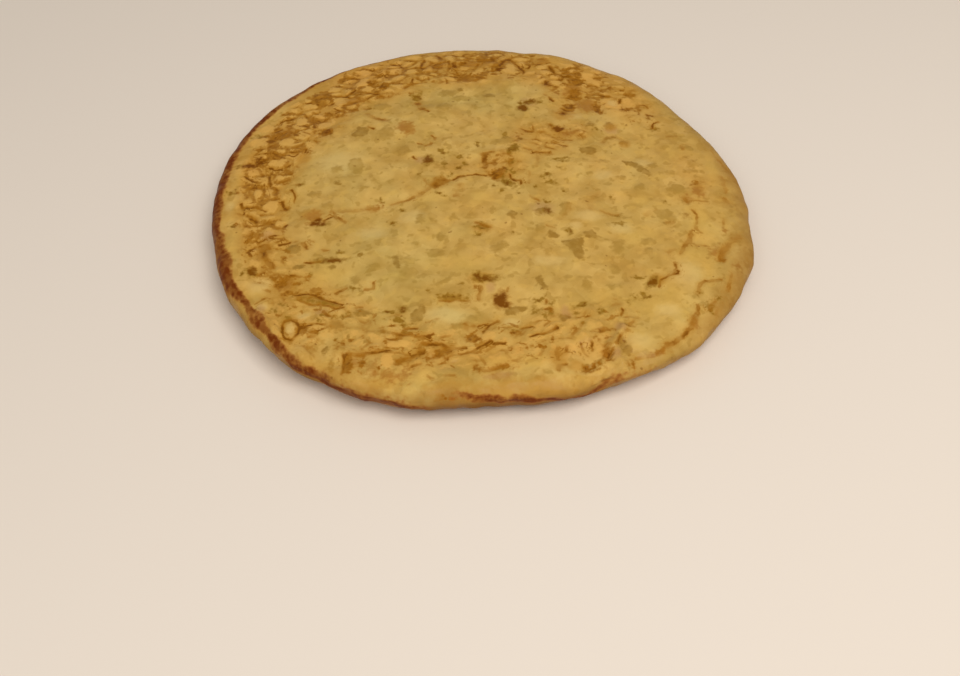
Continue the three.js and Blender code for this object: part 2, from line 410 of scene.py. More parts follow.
# %% Toasted spots
TOASTED_SPOTS_AND_PIT_SHADE = [
    # back left
    (-48, 97, 2.5, 5, -25), (-52, 91, 4, 4), (-46, 93, 1.5, 2), (-47, 86.5, 5, 2.5, -15),
    (-94.5, 68.5, 3.5, 2), (-72.5, 65, 5, 2.6, -20), (-68, 62.5, 3, 2), (-64.5, 62.5, 2.5, 1.6),
    (-61, 67.5, 4, 1.8, -15), (-53, 67.5, 3, 1.8, -15), (-79.5, 58, 3, 9, 8), (-92, 58.5, 2.4, 9, 8),
    (-98, 57, 2, 6), (-96, 49.5, 11, 6), (-104, 50.3, 9, 2.4, -5), (-100.5, 46, 5, 4),
    (-88, 50, 6, 2.6, -35), (-99, 41, 4, 3.5), (-105, 39.5, 5, 2.6), (-46.5, 76.5, 4, 1.6, 15),
    (-43.5, 77, 2.5, 1.4),
    # back
    (-17.5, 103, 4, 3.6), (-18.5, 98, 2, 3), (-4, 105.5, 7, 3.6, 15), (-1, 109.5, 3, 4),
    (6, 107, 7, 2.8, 20), (12, 109, 4.5, 6), (15, 102, 5, 7, -25), (12.5, 93.5, 4, 2), (-7, 95.5, 3, 3),
    (4.5, 94.5, 3.5, 1.8), (-0.5, 95, 1.5, 3.5), (33.5, 102.5, 2.5, 2), (-38, 98.5, 2, 3),
    (-45, 86, 5, 6), (-19, 87.3, 2, 2), (-29.5, 78.6, 5, 1.8), (-28, 74.5, 4.5, 6), (-34.5, 83.5, 2.4, 2),
    (29, 66, 10, 4, 10),
    # back right
    (55, 84, 6, 10), (49, 94, 5, 5), (42.5, 95, 2.2, 7, 8), (61, 80, 4, 4), (48.5, 61, 6, 7),
    (62.5, 60, 4, 8), (52, 70, 8, 4), (64, 56, 4, 3, -30), (68, 74.5, 4, 2.6), (69, 69.5, 2, 2),
    (66, 77, 2.2, 2.4), (72, 77.3, 2.4, 1.6), (75, 74.6, 3.5, 1.6), (66, 86, 3, 3), (80, 70.5, 5, 3),
    (77, 58, 6, 3), (83, 57.5, 2, 5), (88, 52, 3, 2.4), (86.5, 49, 2.4, 1.6), (89, 41, 4, 2),
    (60, 41, 2, 1.6), (38, 46, 2, 2.2), (48, 80.5, 3, 2), (52.5, 73, 6, 7), (48.5, 88.5, 5, 3),
    (51, 83.5, 2.5, 4),
    # left
    (-72.5, 49, 7.5, 7), (-97.5, 34, 4, 4), (-90.3, 25.5, 2.6, 5), (-82.3, 34, 1.8, 2),
    (-115, 8, 5.5, 3.4), (-103, 9.3, 4.5, 2), (-93.5, 13, 2.6, 2), (-89, 18.5, 2.2, 2.4),
    (-112, -16.3, 3.5, 3), (-104, -25, 3.5, 7, -12), (-88.5, -6.5, 3, 3.4), (-83, 9, 3, 2),
    (-99.5, -10.2, 2.6, 1.3), (-44.2, -7, 1.4, 3), (-53, -42.5, 2.2, 2), (-61.5, -39.6, 2, 1.4),
    # middle
    (-16.3, 28, 3, 3), (-14.5, 26.6, 4, 1.8), (-8, 23.5, 4, 2.4), (-4.8, 17.7, 1.8, 2.8, -30),
    (-14.7, 18, 1.2, 3.6), (-8, 14.5, 2.6, 1.6), (1.5, 32.3, 1.8, 3.4), (15.3, 39.3, 2.2, 3.6),
    (22.8, 34.3, 2, 1.8), (19.3, 27, 4.5, 6, -25), (17, 24, 2, 3), (10, 8.5, 7, 7), (13.5, 11.7, 6, 3),
    (15, 1.5, 4, 7, 40), (17, 17, 3, 3), (18.8, 10, 2.2, 2), (40, 17.5, 6, 2.6, 10),
    (39.5, 10.8, 2.2, 1.3), (33, 6, 4, 2.6), (34.5, 1.5, 4, 2.4), (28, -2, 1.4, 1.6), (32, -12, 2.2, 2),
    (11.7, -4.3, 1.4, 1.6), (9, -1, 2.2, 1.2, -30), (19.5, -7, 1.2, 1.2), (40.5, -6, 1, 1.8),
    (-17, -4.5, 2.4, 1.2, -30), (-34, -14, 2.2, 2), (-39, -22.7, 3, 1.8), (2, -28, 6, 3.6, -25),
    (0, -33, 3.6, 2.4), (15.5, -32.5, 1.8, 1.4), (41, -34, 3, 3), (-12, 9.8, 1, 2.6),
    (-26.3, 11.2, 1.2, 1.4),
    # right
    (63.8, -29.6, 4, 2.6), (63.5, -23, 2.6, 1.6), (62.3, -11.6, 1.4, 2), (102, -1.2, 4, 1.6, 10),
    (84.5, -14.5, 2, 1.4),
    # front left
    (-74, -66.8, 9, 2.2, -8), (-66.5, -70.2, 7, 2, -25), (-105, -47.5, 2, 3), (-89.5, -51.5, 5, 3),
    (-87, -56, 5, 5), (-79.5, -57, 3.4, 2.4), (-74.8, -53.5, 1.8, 2.2), (-82.5, -62.5, 6, 2.4),
    (-76, -84.5, 5.5, 5.5), (-71, -86.3, 4, 2.6), (-83, -77.5, 2.6, 3), (-86, -68.3, 3, 1.8, -30),
    (-89, -71, 2.2, 2), (-60.5, -78.5, 3, 1.4), (-56, -77.5, 3, 1.4), (-67, -77, 4, 2),
    (-69, -79.5, 2.4, 1.8), (-54.5, -62.5, 5, 2, -15), (-56, -104.5, 3.4, 9), (-50.4, -104, 3, 8),
    (-43, -108.5, 2, 2), (-58, -94, 1.6, 2.6), (-61.3, -94.5, 1.2, 3.4), (-45, -96.6, 2, 1.2),
    (-41, -94.7, 1.6, 1.2), (-40, -77, 5, 2),
    # front
    (-22.3, -67, 1.6, 1.6), (-8.7, -63.6, 2.2, 1.6), (-35.5, -83, 4.5, 3, -25), (-33, -85.5, 3, 2),
    (-12.5, -71.5, 11, 3.6), (-4.5, -94.5, 5.5, 4.5, 25), (13, -92.6, 5, 2.4, -10), (22.7, -81, 2.8, 2),
    (28.8, -82, 1.8, 2.6), (26.5, -84.5, 1.6, 2.4), (29.5, -77, 2.2, 1.6), (25, -74.6, 5, 1.6, 15),
    (42, -78.5, 5, 2.6, 20), (39, -83, 1.6, 1.6), (41.3, -89.3, 1.2, 1.2), (-31.5, -91, 7, 2.2, -10),
    (-22, -96.5, 8, 2.4), (-17, -101.5, 7, 4, 25), (-24, -103.7, 1.4, 1.6), (-34.5, -105, 5, 3, 35),
    (22.8, -100.5, 1.8, 1.2, -30), (16.5, -101.5, 1.8, 1.4), (11, -102, 2, 2), (24.3, -97.6, 1.6, 1.4),
    (28.5, -97, 2, 1.6), (7, -111, 6, 2), (-3, -111, 3, 3), (-43.5, -98.6, 5, 2),
    # front right
    (68.8, -74.5, 2.4, 3.6), (65.6, -74.7, 2, 1.8), (70.5, -76, 3, 1.2), (62.2, -78, 1.4, 1.8),
    (49, -82.3, 2.6, 3), (68.5, -63.2, 3, 1.2), (60.7, -91, 1.6, 1.2), (49.5, -94, 6, 2.2, 10),
    (50.3, -97.5, 1.6, 1.2), (47, -98.8, 2, 2), (46.2, -97, 1.4, 1.2), (50.5, -105.5, 3.6, 6),
    (96.5, -80.5, 2.6, 5, -10), (100.5, -76, 1.8, 2), (92.5, -72.5, 2, 2.4, -30), (106, -52, 2, 2.6),
    # (49, -119) and (43.5, -111.6) are painted shade in two pits of the front-right fold
    (59.5, -110, 1.6, 3), (72, -104, 4, 1.6, 20), (49, -119, 8, 3, 22), (43.5, -111.6, 7, 2.6, 20),
    (-16, -124, 5.5, 2.2),
]
toast = spots_of(TOASTED_SPOTS_AND_PIT_SHADE)
print("toasted spots:", len(TOASTED_SPOTS_AND_PIT_SHADE))

# %% Smudges
SMUDGES_AND_PIT_SHADE = [
    # back
    (57.5, 62.5, 12, 13), (-60, 75, 9, 7), (37, 104, 7, 5), (46.5, 38.5, 9, 5), (-33, 48, 8, 11, 15),
    (52, 78, 9, 20, -12), (-17, 104, 9, 6), (4, 105, 22, 6), (-94, 51, 12, 9),
    # left and right
    (-96, -35, 6, 10), (-75.5, -13.5, 8, 6), (-47.5, -11, 7, 3), (100.5, 17.5, 3, 2), (102.5, -8, 5, 6),
    (96.5, -13.5, 4, 5), (94.5, -24.6, 4, 3), (110, -34, 3, 2.6), (103, -48, 4, 9, -30),
    # middle
    (11, 8, 10, 8), (-17.5, 3.5, 9, 4.5, 40), (19, 27, 6, 7, -25),
    # front
    (-56, -104.5, 4, 10), (-50.4, -104, 3.6, 9), (-45.5, -108, 4, 8), (-32, -112, 3.6, 7, -10),
    # (50, -119) and (43.5, -112.5) are painted shade in the same two pits
    (-39.5, -112, 6, 5), (-20, -104, 10, 4), (50, -119, 11, 4.5, 22), (43.5, -112.5, 5, 2, 25),
    (112, -57, 4, 3), (-86, -56, 9, 9), (-62, -83, 7, 6), (50.5, -105.5, 4.5, 7), (88, -89, 4, 6),
]
smudge = spots_of(SMUDGES_AND_PIT_SHADE)
print("smudges:", len(SMUDGES_AND_PIT_SHADE))

# %% Warm browning
WARM_RING = (-60, -20)  # mm to the back, over which the ring turns warm
WARM_FRONT = (88, 98)  # mm to the front, over which the rim there does
WARM_EDGE = (0.1, 0.5)
WARM_PLACES = [
    (8, -74, 12, 14), (-18, -96, 44, 10), (-76, -84.5, 12, 9), (-86, -57, 22, 12), (6, 14, 14, 20),
    (-33, 48, 12, 14), (54, 68, 26, 34), (44, 38, 18, 12), (-74, -14, 14, 12), (-48, -11, 12, 7),
    (102, -8, 12, 20), (110, -45, 16, 24), (88, -89, 8, 12),
]
warm_ring = np.maximum(ring * ramp(*WARM_RING, y), ramp(*WARM_FRONT, -y))
warm = np.maximum(warm_ring, ramp(*WARM_EDGE, clouds_of(WARM_PLACES)))
print("warm browning: over", round(100 * float((warm > 0.5).mean())), "% of the skin")

# %% [markdown]
# ## Lines
#
# Where a wrinkle of skin stood against the pan it left a brown line. Lines need more care than spots,
# because many are thinner than the gap between two points. Their distance is given a sign, plus on one
# side and minus on the other. Blended across a face it passes through zero exactly on the line, so even a
# hair-thin line stays whole. What a line needs is this distance in half widths, and a strength that dies
# away past its ends and far from it.

# %% Distance to a line
LINE_END = 1.4  # mm past an end over which a line dies away


def to_segment(start, end):
    """Distance in mm along a straight line from its start, aside from it, and its length."""
    run_x = end[0] - start[0]
    run_y = end[1] - start[1]
    length = math.hypot(run_x, run_y)
    right = mark_x - start[0]
    back = mark_y - start[1]
    return (right * run_x + back * run_y) / length, (back * run_x - right * run_y) / length, length


def to_line(width, strength, *stops):
    """Signed distance to a line through its stops, in half widths, and its strength at each point."""
    nearest = np.full(len(points), np.inf)
    signed = np.zeros(len(points))
    past_end = np.zeros(len(points))
    for index, (start, end) in enumerate(zip(stops, stops[1:])):
        along, aside, length = to_segment(start, end)
        before = np.maximum(-along, 0)
        after = np.maximum(along - length, 0)
        distance = np.hypot(aside, before + after)
        past = before * (index == 0) + after * (index == len(stops) - 2)
        closer = distance < nearest
        nearest = np.where(closer, distance, nearest)
        signed = np.where(closer, np.copysign(distance, aside), signed)
        past_end = np.where(closer, past, past_end)
    low, high = (limit + width / 2 for limit in LINE_RANGE)
    fade = (1 - ramp(0, LINE_END, past_end)) * (1 - ramp(low, high, nearest))
    return np.clip(signed / (width / 2), -FAR, FAR), strength * fade


print("a line dies away", LINE_END, "mm past its ends and", LINE_RANGE[1], "mm beside it")

# %% Lines
LINES = [
    # width, strength, stops
    # back left
    (1.4, 0.9, (-68.5, 81), (-64.5, 80.2), (-61.5, 83), (-60, 85.5)),
    (1.2, 0.8, (-64, 79.5), (-61.5, 78)), (1.3, 0.9, (-57.5, 84), (-53, 80.5), (-48, 80)),
    (1.1, 0.8, (-73, 72.5), (-70.5, 75)), (1.3, 0.9, (-80.5, 68), (-78.5, 67)),
    (1.2, 0.8, (-70, 69.5), (-66, 66.5)), (1.5, 0.85, (-88.5, 68), (-85.5, 67.5), (-83.5, 65)),
    (1.0, 0.6, (-78, 62), (-71.5, 60.5)), (1.2, 0.8, (-84.5, 51.5), (-81.3, 49.5)),
    (1.1, 0.7, (-88, 45.5), (-84, 44)), (1.0, 0.6, (-78, 43), (-77, 40)),
    (2.0, 0.55, (-53, 62.5), (-50, 59), (-47, 57), (-42, 55.5)), (1.6, 0.6, (-52, 51.3), (-49, 49)),
    (1.2, 0.7, (-75, 82.5), (-75, 79)), (1.2, 0.6, (-66, 89), (-60, 88)),
    # back
    (1.8, 0.95, (-24, 110.5), (-25.5, 105.5), (-26.5, 103), (-23, 101.3)),
    (2.0, 0.75, (-18, 114.5), (-15.5, 111), (-16.5, 106)), (1.5, 0.8, (-11, 108), (-11.5, 99)),
    (1.6, 0.8, (4, 104), (3, 101), (1.5, 97)), (1.5, 0.85, (12, 101), (11.6, 96)),
    (1.7, 0.95, (20.5, 108.7), (22.5, 106), (25, 102), (26.5, 99.5), (28, 97.5), (27.5, 92.5)),
    (2.0, 0.95, (20.5, 108.7), (17.5, 106), (15.5, 102)),
    (1.8, 0.85, (29, 104.5), (31.5, 101.5), (29.5, 99.3)), (1.8, 0.8, (42, 99.5), (43, 94), (45, 90.5)),
    (1.0, 0.75, (-8.3, 100), (-6.5, 97)), (1.1, 0.7, (-13.3, 91), (-12.3, 86.5)),
    (1.6, 0.6, (-21.5, 98.5), (-22, 94)), (1.0, 0.5, (-22.3, 93), (-21.5, 89.5)),
    (1.4, 0.8, (-28.5, 98), (-27, 94.5), (-27.5, 91.5)),
    (1.6, 0.9, (-30.5, 91.5), (-31.3, 86.5), (-34.5, 84.3)), (1.2, 0.7, (-31.3, 86), (-27, 87)),
    (2.4, 0.85, (-28, 70), (-26.5, 66), (-24.5, 63)), (1.4, 0.8, (-24.5, 63), (-22.3, 60.3)),
    (1.3, 0.9, (39, 69.7), (41.5, 66)), (1.3, 0.6, (36.5, 72.5), (38, 71)),
    (1.2, 0.85, (23.5, 43.7), (26, 41.7), (29, 41)), (1.0, 0.6, (29, 46.5), (29.6, 41)),
    (1.6, 0.9, (38, 46.3), (39.5, 43)),
    # back right
    (1.2, 0.7, (64, 87.5), (70, 88.3)), (1.5, 0.8, (74.5, 66.5), (74.6, 63)),
    (1.2, 0.6, (84, 61.5), (87, 61), (88, 59)), (1.1, 0.8, (92, 47.5), (88.5, 45), (88, 42)),
    (1.0, 0.8, (38, 36.5), (41, 34), (44, 33), (48, 33.3)), (1.0, 0.7, (39.5, 31), (44.5, 28)),
    (1.0, 0.7, (52, 37), (55, 35)), (1.0, 0.6, (54, 39), (53.5, 34)), (1.2, 0.7, (44, 60), (50, 57)),
    # left
    (1.2, 0.85, (-95, 34.2), (-91, 33), (-88.5, 31.8), (-86, 33.7)),
    (1.2, 0.8, (-87, 38.5), (-84, 36.6), (-82, 37.2), (-82.4, 34)),
    (1.3, 0.95, (-99, 25), (-97, 23.3), (-93, 22.6)),
    (1.3, 0.9, (-110.5, 19.6), (-106, 15.5), (-102.5, 13)),
    (2.0, 0.75, (-105, 24.5), (-102.5, 20), (-101, 17.8)), (1.8, 0.75, (-99, 20), (-98.3, 14), (-97, 10)),
    (1.8, 0.85, (-110, 11.7), (-106.5, 9.8), (-101, 9.5)),
    (1.5, 0.75, (-107.8, 9), (-105.5, 4), (-104, 0), (-103.3, -3)),
    (1.4, 0.75, (-100, 9), (-99.6, 4.5), (-97, 1.2)), (2.0, 0.9, (-96, 9), (-93.7, 6.5), (-94, 1)),
    (1.4, 0.95, (-110, -0.5), (-108.3, -4), (-105, -3.4), (-102, -4), (-98, -7.5)),
    (1.8, 0.8, (-109, -3), (-108.5, -6)), (2.0, 0.85, (-91, -2), (-90, -5), (-88, -7)),
    (1.0, 0.7, (-87, 6.3), (-85.6, 3), (-85, -2.8)),
    (1.8, 0.9, (-106.5, -10.3), (-103, -13), (-101, -15.3), (-97, -15.3), (-93.4, -17.3)),
    (1.8, 0.8, (-107.3, -15), (-104.6, -18.8)),
    (1.4, 0.85, (-93.5, -20.7), (-89.5, -20.7), (-87.6, -18.5)), (1.3, 0.7, (-90, -20.7), (-88.7, -23)),
    (1.0, 0.5, (-94, -28.5), (-88.5, -27.3)), (1.2, 0.8, (-104, -34.7), (-100.5, -31.8)),
    (1.6, 0.75, (-104, -34.7), (-101.5, -37.5)), (2.0, 0.75, (-99, -31.3), (-95, -31.5), (-94.5, -34)),
    (2.0, 0.75, (-97, -33.5), (-95.8, -38.5), (-93.5, -42.5), (-91, -45)),
    (1.3, 0.9, (-89.5, -32.5), (-87, -31.3), (-84.8, -30.4)), (2.0, 0.75, (-79, -32), (-76.6, -36)),
    (1.0, 0.5, (-76.5, -30.5), (-74.5, -31.5)), (1.2, 0.5, (-70, -37), (-67.5, -37.3)),
    (1.2, 0.85, (-70, -17.8), (-66.3, -15), (-63.5, -17), (-60.5, -20.7)),
    (1.1, 0.75, (-66.5, -11.5), (-65.3, -16.5)), (2.2, 0.4, (-68, -11.7), (-58, -11.6), (-50, -11)),
    # middle
    (1.3, 0.6, (-40, -9.5), (-33, -7.3), (-27.5, -5)), (2.0, 0.6, (-27.5, -5), (-24, -2), (-21, 0)),
    (4.2, 0.75, (-20.5, 0.5), (-17.5, 3.5), (-13.8, 6.7)), (1.5, 0.9, (-10.5, 5.5), (-8, 7.3), (-5, 8)),
    (1.2, 0.85, (-5, 8), (0, 9.6), (5, 8)), (2.4, 0.75, (4.4, 24.7), (4.6, 19), (5.3, 15.5), (4, 14)),
    (1.3, 0.7, (5, 24.3), (9.3, 25.3)), (1.2, 0.7, (16.5, 14.5), (16, 17.5)),
    (1.3, 0.9, (16.5, 8.5), (16.6, 5), (18.7, 2.7), (20.5, 3.4), (21, 0.3)),
    (3.0, 0.45, (-9.5, -7), (-7.5, -3), (-6, 1.5)), (1.1, 0.7, (-29.5, 24.5), (-28, 22)),
    (1.2, 0.75, (-27, 35.3), (-25.5, 34.7)), (1.2, 0.8, (-23.5, 33.3), (-21, 33.5), (-20.4, 35)),
    (1.2, 0.6, (-20.5, 41.5), (-18.6, 39.5), (-19, 37.5)),
    (1.6, 0.75, (27.5, 24.3), (32, 23.8), (36.5, 23.5)), (1.0, 0.7, (24, 26.6), (27, 26.4)),
    (1.1, 0.7, (28.5, 32), (31, 30)), (2.0, 0.5, (33, 39), (37.5, 37)), (1.2, 0.4, (30.3, 21), (29, 12)),
    (1.0, 0.45, (25, 9), (25, 1)), (1.1, 0.5, (24.5, -8.5), (28.5, -12)),
    (1.2, 0.8, (-1, -25), (2, -27), (5.7, -29)), (1.0, 0.5, (31, -29), (34, -31)),
    (2.2, 0.35, (42.5, -15.5), (41, -22), (37, -25.5)), (1.0, 0.5, (-23.7, 7), (-23, 3)),
    # right
    (1.8, 0.36, (62, 30.5), (64, 34), (68, 35.6), (71, 34), (72.5, 31)),
    (1.3, 0.54, (99.5, 27.5), (100, 23.5)), (1.0, 0.29, (100, 28), (105, 28)),
    (1.4, 0.36, (94, 35), (99, 35.3)), (1.0, 0.58, (97.5, -14.2), (106, -14.3)),
    (1.5, 0.54, (96, -11), (97.3, -15.3)),
    (1.1, 0.54, (98, -20.5), (99.3, -23), (99, -29), (97.6, -32.5), (100, -36)),
    (1.1, 0.5, (95.5, -34), (94.7, -38)), (2.2, 0.54, (95.3, -36), (93.5, -41), (91, -43.5)),
    (1.2, 0.43, (93.5, -41.5), (97, -43.8), (100.5, -44.2)), (1.5, 0.54, (85, -28.6), (88, -28.4)),
    (1.2, 0.43, (56.5, -20), (60.5, -22.7), (64, -22.8)), (2.0, 0.29, (76, -23.5), (81, -20)),
    (2.0, 0.25, (57, -6.5), (52.5, -12.5), (51.5, -20)), (1.7, 0.4, (115.7, 3.5), (115.5, -3), (116, -7)),
    (2.2, 0.43, (114.5, -11.5), (115.6, -15.5)), (1.2, 0.43, (112, -26), (110.5, -33)),
    (2.4, 0.5, (117, -37.5), (112, -41)), (2.6, 0.54, (112, -41), (108.5, -46.5), (105.7, -53)),
    (1.2, 0.36, (114, 24), (116.5, 16)), (1.4, 0.36, (116.5, 17.5), (119.5, 9.5)),
    # front left
    (1.2, 0.8, (-77.5, -44.7), (-70, -44.5)), (1.0, 0.5, (-99, -49.3), (-92.5, -50), (-89.5, -50)),
    (1.8, 0.75, (-94, -43), (-90.5, -46.3)), (1.3, 0.75, (-93.3, -59), (-91.5, -60)),
    (1.2, 0.95, (-80.5, -63.6), (-74, -64), (-71.5, -64.8), (-67, -68), (-62, -70.3), (-60, -71.5)),
    (1.1, 0.75, (-59, -73.5), (-62, -74), (-67, -71.3), (-72, -70), (-79, -66.7)),
    (1.0, 0.6, (-97.3, -67.5), (-93.5, -64.3)), (1.2, 0.6, (-71.5, -63.8), (-69, -63.3)),
    (1.2, 0.7, (-68, -74.5), (-65, -77.7), (-63, -77.8)), (1.2, 0.7, (-72, -73.3), (-70.5, -73.2)),
    (1.4, 0.8, (-62.5, -64.5), (-61.5, -62.5), (-58.5, -62)),
    (1.1, 0.75, (-50, -63), (-47, -62.5), (-46.7, -59)), (1.2, 0.6, (-54, -73.7), (-51, -74)),
    (1.5, 0.9, (-84.7, -80.5), (-84.7, -85), (-83.3, -88.5), (-80.3, -89.8), (-78.3, -87),
     (-77.7, -82.5), (-79, -79), (-81.5, -78), (-83.7, -78.3), (-84.7, -80.5)),
    (1.2, 0.85, (-77.8, -82.8), (-72.5, -82.2)), (1.2, 0.75, (-73, -88.8), (-70, -88)),
    (1.2, 0.6, (-75.3, -93.3), (-72, -97), (-70.3, -98.6)),
    (1.4, 0.85, (-57.7, -99.6), (-50, -100), (-44, -99.7), (-38, -99)),
    (1.4, 0.8, (-57.5, -99.5), (-57.7, -109)),
    # front
    (1.4, 0.85, (-0.2, -65.3), (-0.6, -69), (-1.7, -73)), (1.4, 0.6, (-2.5, -64.5), (-2.5, -66)),
    (1.1, 0.75, (11.7, -66.8), (11, -69)), (1.1, 0.55, (-18, -73.3), (-6, -73.2)),
    (1.3, 0.9, (-38, -89.3), (-33.5, -91.3), (-27, -92.8), (-22.5, -92), (-20.7, -91.3)),
    (1.2, 0.8, (-32.5, -88), (-28, -88)), (1.5, 0.55, (-43, -88.5), (-38, -89.3)),
    (1.1, 0.7, (-17.5, -93.3), (-13.5, -93)), (1.6, 0.8, (-27, -99), (-24, -95), (-22, -93)),
    (1.8, 0.85, (-24, -96.3), (-17.7, -97), (-15.5, -99.5), (-13, -101.3)),
    (1.4, 0.8, (-15, -100), (-10, -99.6), (-7, -99.4)),
    (2.4, 0.85, (-24.5, -100), (-29, -102.5), (-33, -104), (-36, -105)),
    (1.2, 0.6, (-42, -100), (-35, -100.2), (-30.5, -102)), (1.4, 0.6, (-30, -108), (-26, -107.5)),
    (1.3, 0.9, (0, -91.3), (1.5, -89), (4, -87), (6.6, -85)), (1.1, 0.75, (-1.5, -88), (2, -86.5)),
    (1.3, 0.85, (-10, -103), (-5.5, -102), (-1.5, -99.2), (4, -97)), (1.3, 0.95, (4, -98.9), (9, -98.4)),
    (1.2, 0.6, (1, -101.3), (4.5, -99.6)), (1.3, 0.6, (-1, -112.3), (4, -111.2), (9.3, -110)),
    (1.1, 0.9, (15.3, -91.3), (16.3, -89.5), (20.7, -89.2)), (1.2, 0.6, (8.5, -89.6), (11.5, -89.4)),
    (1.1, 0.9, (19.5, -95.3), (22, -93.8), (25.5, -93.5), (31, -91.3)), (1.0, 0.6, (31, -97), (36, -97)),
    (1.2, 0.7, (28, -75), (27, -77)), (1.3, 0.75, (26, -80.5), (29, -80), (29, -82)),
    (1.4, 0.65, (30, -102), (29.5, -108)), (1.4, 0.65, (34, -101.5), (33, -104)),
    (1.6, 0.6, (29.5, -114), (30, -111), (33, -110)), (1.0, 0.7, (40, -100), (41, -104), (42, -105.5)),
    (1.0, 0.7, (44, -99), (44.5, -103)), (1.4, 0.5, (22.5, -106), (24, -101.7)),
    (1.2, 0.5, (-23, -113.3), (-21, -115.5)), (1.2, 0.55, (-17, -114.5), (-12.5, -114.5)),
    (1.0, 0.5, (-2, -104), (0, -109)),
    # front right
    (1.2, 0.8, (77.5, -65), (81.5, -63), (85.5, -62), (86, -60.5)), (1.1, 0.8, (85.5, -61), (85, -56)),
    (1.1, 0.6, (83, -61), (85, -59.5)), (1.2, 0.7, (76, -69.5), (77, -66)),
    (1.0, 0.7, (58.3, -82), (57.7, -85.5)), (1.0, 0.5, (59.5, -86.5), (65, -86.5)),
    (1.4, 0.6, (61, -90.5), (63.3, -88)), (1.4, 0.6, (58.5, -95), (60, -93.5)),
    (1.3, 0.75, (56.5, -96.5), (54, -101)), (1.6, 0.75, (91, -79.6), (90.6, -84), (89.5, -87.5)),
    (2.8, 0.65, (89.5, -86), (88.3, -89.5)), (1.8, 0.8, (88.3, -89.5), (86, -93), (82.5, -96.7)),
    (2.0, 0.7, (82.5, -96.7), (78, -100.3), (73, -103)), (1.4, 0.8, (74, -103), (71, -105)),
    (1.6, 0.55, (71, -105.5), (66, -106.7), (61, -107.6)),
    (1.4, 0.6, (93.3, -69.3), (97, -66), (104, -65.3)), (1.3, 0.5, (92, -73.5), (93.5, -69.5)),
    (1.7, 0.6, (109.3, -61.5), (107, -66.5), (105.3, -72)),
    (1.5, 0.6, (99.5, -77), (97.5, -79.5), (96, -83)), (1.3, 0.45, (98.5, -84.5), (100.3, -78)),
    (1.5, 0.55, (90, -44), (88.7, -50)), (1.4, 0.4, (82.5, -49), (86.5, -46)),
]
print("lines:", len(LINES))

# %% Join the lines in one field
line_reach = np.full(len(points), FAR)
line_strength = np.zeros(len(points))
for mark in LINES:
    signed, strength = to_line(*mark)
    here = strength * (np.abs(signed) < FAR) > line_strength * (np.abs(line_reach) < np.abs(signed))
    line_reach = np.where(here, signed, line_reach)
    line_strength = np.where(here, strength, line_strength)
line_strength = np.clip(line_strength * on_top * (0.85 + 0.6 * lumps(4, 24)), 0, 1)
print("lines: near", round(100 * float((line_strength > 0).mean()), 1), "% of the points")

# %% [markdown]
# ## Softer patches
#
# Between the brown marks the egg is far from even. In places it is tanned, a soft orange-brown with no
# clear edge. Golden patches are partly clear golden egg and partly painted light, on the lit tops of the
# front mounds and the bright right shoulder. Whitish patches are partly paler egg and partly a painted
# sheen. A few places are rosy grey next to a scorch, and one small rosy patch is a painted highlight.
# Over larger areas the yellow itself drifts, warmer towards the rim and greener where potato lies deep,
# so a
# `hue` field runs from 0 for olive to 1 for warm.

# %% Tanned, golden, pale and rosy patches
TANNED = [
    (-33, 48, 9, 12, 15), (57, 62, 14, 13), (52, 76, 12, 24, -10), (44, 38, 14, 9), (46, 54, 14, 12),
    (-76, -13, 13, 10), (-47.5, -11, 8, 4), (11, 8, 12, 10), (103, -6, 7, 12), (5, 104, 36, 12),
    (38, 104, 8, 7), (-20, 104, 14, 10), (-94, 52, 14, 14), (-76, 79, 10, 9), (-83, 30, 8, 9),
    (-60, 75, 11, 9), (-96, -36, 9, 14), (-84, -58, 14, 12), (-62, -83, 8, 7), (-17, -101, 14, 8),
    (30, -108, 9, 14), (-28, 74, 7, 8), (50, -105, 6, 8), (-40, -112, 8, 6), (37, -111, 10, 7),
    (108, -47, 6, 14, -35), (88, -89, 5, 6), (-55, -104, 9, 11), (76, -65, 8, 8), (-13, -71.5, 13, 5),
    (0, -60, 12, 8), (68, 43, 8, 7), (73, 29, 7, 7), (-17, 3.5, 10, 6, 40), (2, -29, 11, 7),
]
# Golden patches are partly clear golden egg and partly painted light: on the front mounds they paint the
# lit tops, and along the right the brightly lit shoulder.
GOLDEN_AND_LIT = [
    (-66, -53, 24, 9), (100, -30, 10, 40), (80, -74, 14, 16), (-10, -51, 26, 12), (6, -107, 14, 8),
    (20, -108, 12, 8), (-112, -32, 7, 22), (-113, 24, 6, 18), (75, -14, 8, 7), (-22, -6, 12, 8),
    (2, -8, 10, 7), (-40, -115, 26, 5), (-25, -114.5, 8, 12), (-98, -58, 14, 12), (64, -98, 14, 10),
    (112, 10, 6, 26), (22, 97, 8, 12), (94, -56, 20, 30), (76, -80, 26, 18), (72, -38, 22, 14),
    (52, -74, 14, 12),
]
# Pale patches are partly paler egg and partly a painted sheen, as on the whitish patch at the front and
# the bulge at the front right.
PALE_AND_SHEEN = [
    (64, -99, 14, 9), (78, -83, 12, 8), (90, -62, 16, 18), (-97, -56.5, 13, 11), (-20, -81, 10, 8),
    (-94, -69.5, 5, 5), (-14, -82, 18, 10), (-16, -80, 12, 7), (-76, -76, 6, 5), (-65, 24, 26, 20),
    (71, 63, 7, 7), (-81.3, -83.5, 5, 9), (50, -24, 16, 8), (50, 52, 10, 6), (-115.5, -2.5, 5, 8),
    (12, -86, 8, 5), (44, -30, 6, 5), (-30, -20, 14, 10), (-48, -28, 14, 10), (64, -32, 14, 8),
    (80, 14, 10, 8), (30, -52, 16, 8), (60, 6, 10, 8),
]
